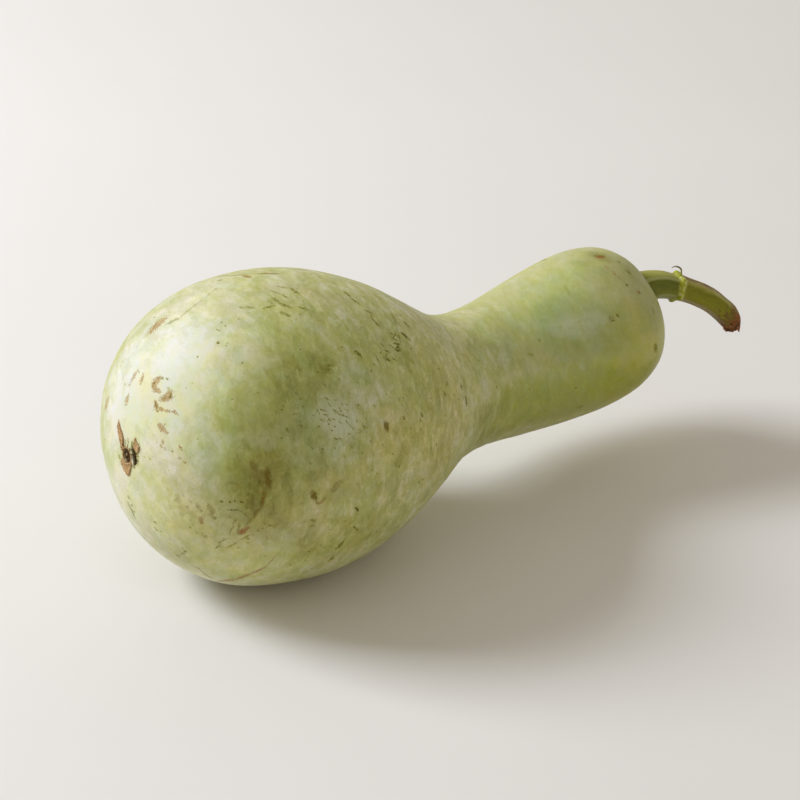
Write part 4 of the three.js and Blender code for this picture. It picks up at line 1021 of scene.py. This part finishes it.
def skin_material():
    m = Tree("gourd_skin")
    here = m.object()
    skin = m.attribute("skin", "Vector")
    along = m.add("ShaderNodeSeparateXYZ")
    m.put(along.inputs[0], skin)
    s = along.outputs[0]

    # Broad tone: pale at the blossom end, green over the middle. The pale is partly waxy skin and partly painted light:
    # sheen on the upper side, floor bounce underneath, and a reflection on the spots facing the camera.
    patches = m.add("ShaderNodeSeparateXYZ")
    m.put(patches.inputs[0], broad(m, strayed(m, here, 60, 0.014, 3.0)))
    tone = m.math("ADD", patches.outputs[0], m.math("MULTIPLY", m.math("SUBTRACT", m.noise(here, 20, 2, 0.5), 0.5), 0.08))

    # Feathery mottling, drawn out round the fruit like brush strokes.
    brushed = strayed(m, m.scaled(skin, (1.7, 1.0, 1.0)), 95, 0.011, 4.0)
    cloud = m.noise(brushed, 90, 5, 0.62)
    flakes = m.add("ShaderNodeSeparateColor")
    m.put(flakes.inputs[0], m.cells(brushed, 150, output="Color"))
    small = m.add("ShaderNodeSeparateColor")
    m.put(small.inputs[0], m.cells(strayed(m, m.scaled(skin, (1.5, 1.0, 1.0)), 260, 0.005, 3.0), 330, output="Color"))
    bulb_part = m.math("MULTIPLY", m.span(s, 0.150, 0.225, 1.0, 0.38), m.span(s, 0.030, 0.085, 0.72, 1.0))
    mottle = m.math("MULTIPLY", m.math("SUBTRACT", cloud, 0.5), 0.90)
    mottle = m.math("MULTIPLY_ADD", m.math("SUBTRACT", flakes.outputs[0], 0.5), 0.15, mottle)
    mottle = m.math("MULTIPLY_ADD", m.math("SUBTRACT", small.outputs[0], 0.5), 0.15, mottle)
    mottle = m.math("MULTIPLY_ADD", m.math("SUBTRACT", m.noise(skin, 900, 3, 0.7), 0.5), 0.24, mottle)
    veins = m.math("ABSOLUTE", m.math("SUBTRACT", m.noise(brushed, 130, 3, 0.6, warp=0.5), 0.5))
    mottle = m.math("MULTIPLY_ADD", m.span(veins, 0.030, 0.004), m.span(cloud, 0.40, 0.60, 0.03, 0.13), mottle)
    tone = m.math("MULTIPLY_ADD", mottle, bulb_part, tone)

    # Pale strokes round the shoulder and waist.
    strokes = m.noise(m.scaled(skin, (7.0, 1.0, 1.0)), 105, 3, 0.55, warp=0.25)
    where_strokes = m.math("MULTIPLY", m.span(s, 0.070, 0.125), m.span(s, 0.212, 0.160))
    pale_strokes = m.math("MULTIPLY", m.span(strokes, 0.53, 0.68), where_strokes)
    tone = m.math("MULTIPLY_ADD", pale_strokes, 0.13, tone)
    dark_strokes = m.math("MULTIPLY", m.span(strokes, 0.44, 0.33), where_strokes)
    tone = m.math("MULTIPLY_ADD", dark_strokes, -0.08, tone)

    colour = m.ramp(tone, [
        (0.00, srgb(118, 122, 50)), (0.25, srgb(151, 155, 84)), (0.50, srgb(173, 177, 111)),
        (0.75, srgb(194, 196, 147)), (1.00, srgb(213, 213, 178)),
    ])
    tint = m.add("ShaderNodeCombineXYZ")
    m.put(tint.inputs[0], m.math("ADD", patches.outputs[1], m.span(m.noise(brushed, 70, 4, 0.6), 0.35, 0.65, 0.965, 1.035)))
    m.put(tint.inputs[1], 1.0)
    m.put(tint.inputs[2], m.math("ADD", patches.outputs[2], m.span(m.noise(skin, 120, 4, 0.65), 0.35, 0.65, 0.86, 1.14)))
    colour = m.mix(1.0, colour, tint.outputs[0], "MULTIPLY")

    # Marks from the lists above.
    ragged = strayed(m, here, 520, 0.0030, 4.0)
    crisp = strayed(m, here, 950, 0.0014, 4.0)
    frayed = strayed(m, here, 1400, 0.0016, 4.0)
    crumb = m.noise(here, 1500, 3, 0.7)
    patch_noise = m.noise(here, 420, 3, 0.65)
    # Pale marks; the ones facing the camera on the bulb and the neck are partly a painted reflection.
    pale = m.math("MULTIPLY", marks(m, strayed(m, here, 200, 0.008, 4.0), MARKS["pale"], "pale", 0.2, 1.35), m.span(patch_noise, 0.30, 0.60, 0.45, 1.0))
    colour = m.mix(pale, colour, srgb(196, 201, 172))
    brown = m.math("MULTIPLY", marks(m, ragged, MARKS["brown"], "brown", 0.35, 1.4), m.span(patch_noise, 0.30, 0.58, 0.62, 1.0))
    colour = m.mix(brown, colour, m.mix(crumb, srgb(96, 80, 16), srgb(124, 110, 34)))
    rust = m.math("MULTIPLY", marks(m, crisp, MARKS["rust"], "rust", 0.35, 1.45), m.span(crumb, 0.35, 0.6, 0.55, 1.0))
    colour = m.mix(rust, colour, srgb(140, 86, 24))
    scab = m.math("SUBTRACT", marks(m, frayed, MARKS["scab"], "scab", 0.1, 1.7), m.span(crumb, 0.36, 0.64, -0.05, 0.80))
    colour = m.mix(m.span(scab, 0.02, 0.26, 0.0, 0.85), colour, srgb(150, 124, 70))
    colour = m.mix(m.span(scab, 0.26, 0.66, 0.0, 0.85), colour, m.mix(m.span(patch_noise, 0.38, 0.62), srgb(172, 142, 88), srgb(204, 184, 134)))
    colour = m.mix(m.math("MULTIPLY", m.span(scab, 0.05, 0.35), m.span(m.noise(here, 1900, 2, 0.6), 0.56, 0.66, 0.0, 0.8)), colour, srgb(122, 92, 44))
    specks = m.add("ShaderNodeSeparateColor")
    freckled = m.scaled(here, (1.0, 1.0, 1.0))
    m.put(specks.inputs[0], m.cells(freckled, 300, output="Color"))
    chosen = m.span(m.math("ADD", specks.outputs[0], m.span(m.noise(here, 45, 3, 0.6), 0.40, 0.62, -0.16, 0.10)), 0.84, 0.90)
    freckles = m.math("MULTIPLY", m.span(m.cells(freckled, 300), 0.24, 0.08), m.math("MULTIPLY", chosen, m.span(s, 0.16, 0.24, 0.55, 0.15)))
    dark = m.math("MULTIPLY", marks(m, crisp, MARKS["dark"], "dark", 0.45, 1.5), m.span(crumb, 0.40, 0.57, 0.15, 1.25))
    dark = m.math("MAXIMUM", freckles, dark)
    halo = m.mix(1.0, colour, (1.0, 0.97, 0.40, 1), "MULTIPLY")
    colour = m.mix(m.math("MULTIPLY", dark, 1.6, clamp=True), colour, halo)
    colour = m.mix(dark, colour, srgb(60, 50, 0))

    # The blossom scar.
    cork, hole = m.attribute("cork"), m.attribute("dark")
    bark = m.mix(m.span(m.noise(here, 1100, 4, 0.7), 0.36, 0.64), srgb(150, 112, 66), srgb(204, 176, 128))
    colour = m.mix(m.span(cork, 0.06, 0.26, 0.0, 0.9), colour, srgb(136, 104, 58))
    colour = m.mix(m.span(cork, 0.30, 0.66), colour, bark)
    # The pit, the crevice and the hairs in brown, darkest where deepest: partly dry tissue, partly painted shade in the
    # hollows.
    colour = m.mix(m.span(hole, 0.06, 0.42, 0.0, 0.9), colour, m.mix(m.noise(here, 900, 3, 0.7), srgb(92, 66, 34), srgb(126, 112, 56)))
    colour = m.mix(m.span(hole, 0.45, 0.90), colour, m.mix(m.span(m.noise(here, 1300, 3, 0.7), 0.4, 0.65), srgb(40, 26, 14), srgb(96, 74, 40)))
    m.put(m.shader.inputs["Base Color"], colour)

    dry = m.math("MAXIMUM", m.math("MAXIMUM", scab, brown), m.math("MAXIMUM", m.math("MAXIMUM", cork, hole), dark))
    rough = m.math("MULTIPLY_ADD", m.math("SUBTRACT", cloud, 0.5), 0.22, 0.53)
    rough = m.math("MULTIPLY_ADD", pale, 0.10, rough)
    m.put(m.shader.inputs["Roughness"], m.math("MULTIPLY_ADD", dry, 0.40, rough, clamp=True))
    m.shader.inputs["Specular IOR Level"].default_value = 0.33

    height = m.math("MULTIPLY", m.math("SUBTRACT", m.noise(skin, 420, 4, 0.6), 0.5), 0.00012)
    height = m.math("MULTIPLY_ADD", m.math("SUBTRACT", cloud, 0.5), 0.00025, height)
    height = m.math("MULTIPLY_ADD", m.math("MULTIPLY", cork, m.noise(here, 1500, 3, 0.6)), 0.0004, height)
    m.put(m.shader.inputs["Normal"], m.bump(height, 1.0, 0.8))
    return m.material


# ---- end of skin


def stalk_material():
    m = Tree("green_stalk")
    here = m.object()
    axes = m.add("ShaderNodeSeparateXYZ")
    m.put(axes.inputs[0], m.attribute("stalk", "Vector"))
    t, side, up = axes.outputs
    ridge, torn = m.attribute("ridge"), m.attribute("torn")
    # 1 along the stalk's upper back edge, -1 along its lower front one.
    high = m.math("MULTIPLY_ADD", up, 0.866, m.math("MULTIPLY", side, 0.5))
    blotch = m.noise(here, 190, 4, 0.62)
    grain = m.noise(m.scaled(m.attribute("stalk", "Vector"), (5.0, 2.6, 2.6)), 3.2, 4, 0.6)
    high = m.math("ADD", high, m.math("MULTIPLY", m.math("SUBTRACT", blotch, 0.5), 0.35))
    # The colour follows which way each side faces: the bright bands on the upper back side, towards the lamp, and the
    # dark band round the front are painted light and shade over the stalk's own green and brown.
    early = m.ramp(m.span(high, -1, 1, smooth=False), [
        (0.00, srgb(138, 138, 52)), (0.14, srgb(122, 126, 40)), (0.40, srgb(108, 114, 26)), (0.62, srgb(106, 112, 24)),
        (0.69, srgb(156, 158, 88)), (0.76, srgb(126, 128, 46)), (0.90, srgb(152, 154, 62)), (1.00, srgb(170, 166, 84)),
    ])
    late = m.ramp(m.span(high, -1, 1, smooth=False), [
        (0.00, srgb(140, 122, 48)), (0.10, srgb(140, 136, 24)), (0.30, srgb(134, 134, 0)), (0.54, srgb(126, 124, 0)),
        (0.66, srgb(156, 152, 52)), (0.82, srgb(146, 136, 60)), (0.92, srgb(128, 104, 36)), (1.00, srgb(112, 84, 30)),
    ])
    colour = m.mix(m.span(t, 0.29, 0.34), early, late)
    colour = m.mix(m.span(grain, 0.36, 0.64, 0.0, 0.6), m.mix(1.0, colour, (0.78, 0.80, 0.62, 1), "MULTIPLY"), m.mix(1.0, colour, (1.12, 1.12, 1.16, 1), "MULTIPLY"))
    colour = m.mix(m.math("MULTIPLY", m.span(ridge, 0.82, 1.0, 0.0, 0.4), m.span(t, 0.30, 0.26)), colour, srgb(172, 178, 118))
    # The node ring, bright and flecked.
    shifted = m.math("MULTIPLY_ADD", m.math("MULTIPLY_ADD", up, 0.866, m.math("MULTIPLY", side, 0.5)), 0.007, m.math("SUBTRACT", t, NODE_RING + 0.007))
    off = m.math("ABSOLUTE", m.math("MULTIPLY_ADD", m.math("SUBTRACT", blotch, 0.5), 0.03, shifted))
    colour = m.mix(m.span(off, 0.042, 0.012), colour, srgb(160, 164, 34))
    flecks = m.math("MULTIPLY", m.span(m.noise(here, 700, 2, 0.6), 0.50, 0.62), m.span(off, 0.040, 0.012))
    colour = m.mix(m.math("MULTIPLY", flecks, 0.75), colour, srgb(206, 206, 146))
    # Brown blotches, gathering into the dry cut end.
    brown = m.span(m.math("ADD", m.noise(here, 330, 4, 0.65), m.span(t, 0.60, 0.88, -0.06, 0.20)), 0.58, 0.70, 0.0, 0.85)
    colour = m.mix(m.math("MULTIPLY", brown, m.span(t, 0.34, 0.42)), colour, srgb(112, 82, 22))
    dry = m.span(m.math("ADD", t, m.math("MULTIPLY", m.math("SUBTRACT", m.noise(here, 240, 4, 0.65), 0.5), 0.20)), 0.835, 0.905)
    bark = m.mix(m.span(m.noise(m.scaled(here, (1.0, 1.0, 1.0)), 420, 4, 0.7), 0.36, 0.64), srgb(74, 42, 12), srgb(146, 92, 44))
    bark = m.mix(m.span(m.noise(here, 650, 2, 0.6), 0.60, 0.70, 0.0, 0.6), bark, srgb(184, 140, 88))
    # Pale streaks on the upper back side only, towards the lamp: painted highlight.
    light = m.math("MULTIPLY", m.span(m.noise(m.scaled(m.attribute("stalk", "Vector"), (9.0, 2.0, 2.0)), 2.0, 3, 0.6), 0.52, 0.62), m.span(high, 0.05, 0.45))
    colour = m.mix(m.math("MULTIPLY", m.math("MULTIPLY", light, 0.55), m.span(t, 0.34, 0.40)), colour, srgb(172, 168, 92))
    colour = m.mix(dry, colour, bark)
    fibre = m.mix(m.span(m.noise(here, 800, 3, 0.7), 0.35, 0.65), srgb(58, 34, 20), srgb(132, 92, 58))
    colour = m.mix(torn, colour, fibre)
    m.put(m.shader.inputs["Base Color"], colour)
    m.put(m.shader.inputs["Roughness"], m.math("MULTIPLY_ADD", m.math("MAXIMUM", dry, torn), 0.28, m.span(grain, 0.3, 0.7, 0.44, 0.58)))
    m.shader.inputs["Specular IOR Level"].default_value = 0.28
    height = m.math("MULTIPLY", grain, 0.00035)
    height = m.math("MULTIPLY_ADD", m.noise(here, 700, 3, 0.65), m.span(t, 0.75, 0.95, 0.0003, 0.0009), height)
    m.put(m.shader.inputs["Normal"], m.bump(height, 1.0, 0.9))
    return m.material


def tendril_material():
    m = Tree("withered_tendril")
    here = m.object()
    t = m.attribute("dried")
    t = m.math("ADD", t, m.math("MULTIPLY", m.math("SUBTRACT", m.noise(here, 500, 3, 0.6), 0.5), 0.25))
    colour = m.ramp(t, [
        (0.00, srgb(164, 172, 40)), (0.30, srgb(160, 162, 52)), (0.48, srgb(134, 124, 58)),
        (0.70, srgb(118, 104, 62)), (0.90, srgb(142, 134, 92)), (1.00, srgb(168, 162, 124)),
    ])
    colour = m.mix(m.span(m.noise(here, 1400, 3, 0.6), 0.4, 0.65, 0.0, 0.35), colour, srgb(92, 78, 40))
    m.put(m.shader.inputs["Base Color"], colour)
    m.put(m.shader.inputs["Roughness"], m.span(t, 0.2, 0.6, 0.5, 0.75))
    m.put(m.shader.inputs["Normal"], m.bump(m.math("MULTIPLY", m.noise(here, 1300, 3, 0.6), 0.0003), 1.0, 0.8))
    return m.material


def remnant_material():
    m = Tree("dried_flower")
    here = m.object()
    core, high = m.attribute("core"), m.attribute("high")
    shred = m.noise(here, 1500, 3, 0.7, warp=0.6)
    colour = m.mix(m.span(shred, 0.35, 0.65), srgb(40, 26, 16), srgb(104, 76, 46))
    # Tan where the folds stand up, dark brown lower in the pit: partly dry tissue, partly painted shade.
    colour = m.mix(m.span(high, -1.5, 0.3, 0.0, 0.75), colour, m.mix(shred, srgb(112, 82, 50), srgb(176, 146, 104)))
    colour = m.mix(m.span(core, 0.30, 0.75), colour, srgb(206, 186, 146))
    m.put(m.shader.inputs["Base Color"], colour)
    m.put(m.shader.inputs["Roughness"], m.span(shred, 0.3, 0.7, 0.75, 0.92))
    m.shader.inputs["Specular IOR Level"].default_value = 0.2
    m.put(m.shader.inputs["Normal"], m.bump(m.math("MULTIPLY", shred, 0.0006), 1.0, 1.0))
    return m.material


fruit.data.materials.append(skin_material())
stalk.data.materials.append(stalk_material())
tendril.data.materials.append(tendril_material())
remnant.data.materials.append(remnant_material())

for piece, node, slot in ((fruit, "gourd_fruit", "gourd_skin"), (stalk, "stalk", "green_stalk"),
                          (tendril, "tendril_stub", "withered_tendril"), (remnant, "blossom_remnant", "dried_flower")):
    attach(piece, "root")
    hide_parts(node)


# ---- the floor, the light and the camera --------------------------------------

def make_floor():
    mesh = bpy.data.meshes.new("floor")
    size = 5.0
    mesh.from_pydata([(-size, -size, 0), (size, -size, 0), (size, size, 0), (-size, size, 0)], [], [(0, 1, 2, 3)])
    ob = bpy.data.objects.new("floor", mesh)
    bpy.context.scene.collection.objects.link(ob)
    m = Tree("pale_floor")
    here = m.object()
    cloud = m.noise(here, 3.0, 4, 0.55)
    m.put(m.shader.inputs["Base Color"], m.mix(cloud, srgb(222, 220, 217), srgb(230, 228, 225)))
    m.shader.inputs["Roughness"].default_value = 0.75
    m.shader.inputs["Specular IOR Level"].default_value = 0.25
    mesh.materials.append(m.material)
    return ob


make_floor()


def area_light(name, direction, distance, size, power, colour, target=(0, 0, 0.06)):
    light = bpy.data.lights.new(name, "AREA")
    light.shape = "RECTANGLE"
    light.size, light.size_y = size
    light.energy = power
    light.color = colour
    ob = bpy.data.objects.new(name, light)
    d = np.array(direction, float)
    d /= np.linalg.norm(d)
    from mathutils import Vector
    ob.location = Vector(target) + Vector(d) * distance
    ob.rotation_euler = Vector(-d).to_track_quat("-Z", "Y").to_euler()
    bpy.context.scene.collection.objects.link(ob)
    return ob


KEY = (-0.5504, 0.5620, 0.6175)
area_light("key", KEY, 2.1, (0.86, 0.86), 40.5, (0.965, 1.0, 1.085))


def make_world():
    """Soft light from all round: warmer and brighter toward the pale walls at
    floor level, cooler overhead, weaker from the front than from the far right."""
    world = bpy.data.worlds.new("studio")
    world.use_nodes = True
    tree = world.node_tree
    background = tree.nodes["Background"]
    place = tree.nodes.new("ShaderNodeTexCoord").outputs["Generated"]

    def along(direction):
        node = tree.nodes.new("ShaderNodeVectorMath")
        node.operation = "DOT_PRODUCT"
        tree.links.new(place, node.inputs[0])
        node.inputs[1].default_value = direction
        return node.outputs["Value"]

    def span(value, low, high, to_low, to_high):
        node = tree.nodes.new("ShaderNodeMapRange")
        node.interpolation_type = "SMOOTHSTEP"
        tree.links.new(value, node.inputs[0])
        for k, v in enumerate((low, high, to_low, to_high)):
            node.inputs[k + 1].default_value = v
        return node.outputs[0]

    height = span(along((0, 0, 1)), WALL_TOP, OVERHEAD, 0.0, 1.0)
    colour = tree.nodes.new("ShaderNodeMix")
    colour.data_type = "RGBA"
    tree.links.new(height, colour.inputs["Factor"])
    colour.inputs[6].default_value = WALL_LIGHT
    colour.inputs[7].default_value = CEILING_LIGHT
    tree.links.new(colour.outputs[2], background.inputs["Color"])
    tree.links.new(span(along(FAR_RIGHT), -1, 1, 1 - SIDE_TILT, 1 + SIDE_TILT), background.inputs["Strength"])
    # What a low view sees past the floor's edge: a plain pale wall.
    wall = tree.nodes.new("ShaderNodeBackground")
    wall.inputs["Color"].default_value = BACKDROP
    seen = tree.nodes.new("ShaderNodeMixShader")
    tree.links.new(tree.nodes.new("ShaderNodeLightPath").outputs["Is Camera Ray"], seen.inputs[0])
    tree.links.new(background.outputs[0], seen.inputs[1])
    tree.links.new(wall.outputs[0], seen.inputs[2])
    tree.links.new(seen.outputs[0], tree.nodes["World Output"].inputs["Surface"])
    bpy.context.scene.world = world


WALL_TOP, OVERHEAD = 0.12, 0.65
WALL_LIGHT = (0.70, 0.620, 0.500, 1)
CEILING_LIGHT = (0.455, 0.425, 0.375, 1)
FAR_RIGHT = (0.98, 0.20, 0.0)
SIDE_TILT = 0.25
BACKDROP = (0.70, 0.68, 0.65, 1)
make_world()

camera_data = bpy.data.cameras.new("camera")
camera_data.sensor_width = 36.0
camera_data.lens = 135.0
camera_data.clip_end = 50
camera = bpy.data.objects.new("camera", camera_data)
camera.location = (-0.735047, -1.052421, 0.800836)
from mathutils import Matrix, Vector
forward, up_vector = Vector((0.48364, 0.71643, -0.50281)).normalized(), Vector((0.2814, 0.4168, 0.8644))
right_vector = forward.cross(up_vector).normalized()
up_vector = right_vector.cross(forward).normalized()
camera.rotation_euler = Matrix((
    (right_vector.x, up_vector.x, -forward.x),
    (right_vector.y, up_vector.y, -forward.y),
    (right_vector.z, up_vector.z, -forward.z),
)).to_euler()
bpy.context.scene.collection.objects.link(camera)
bpy.context.scene.camera = camera
bpy.context.scene.view_settings.view_transform = "Standard"
bpy.context.scene.view_settings.look = "None"
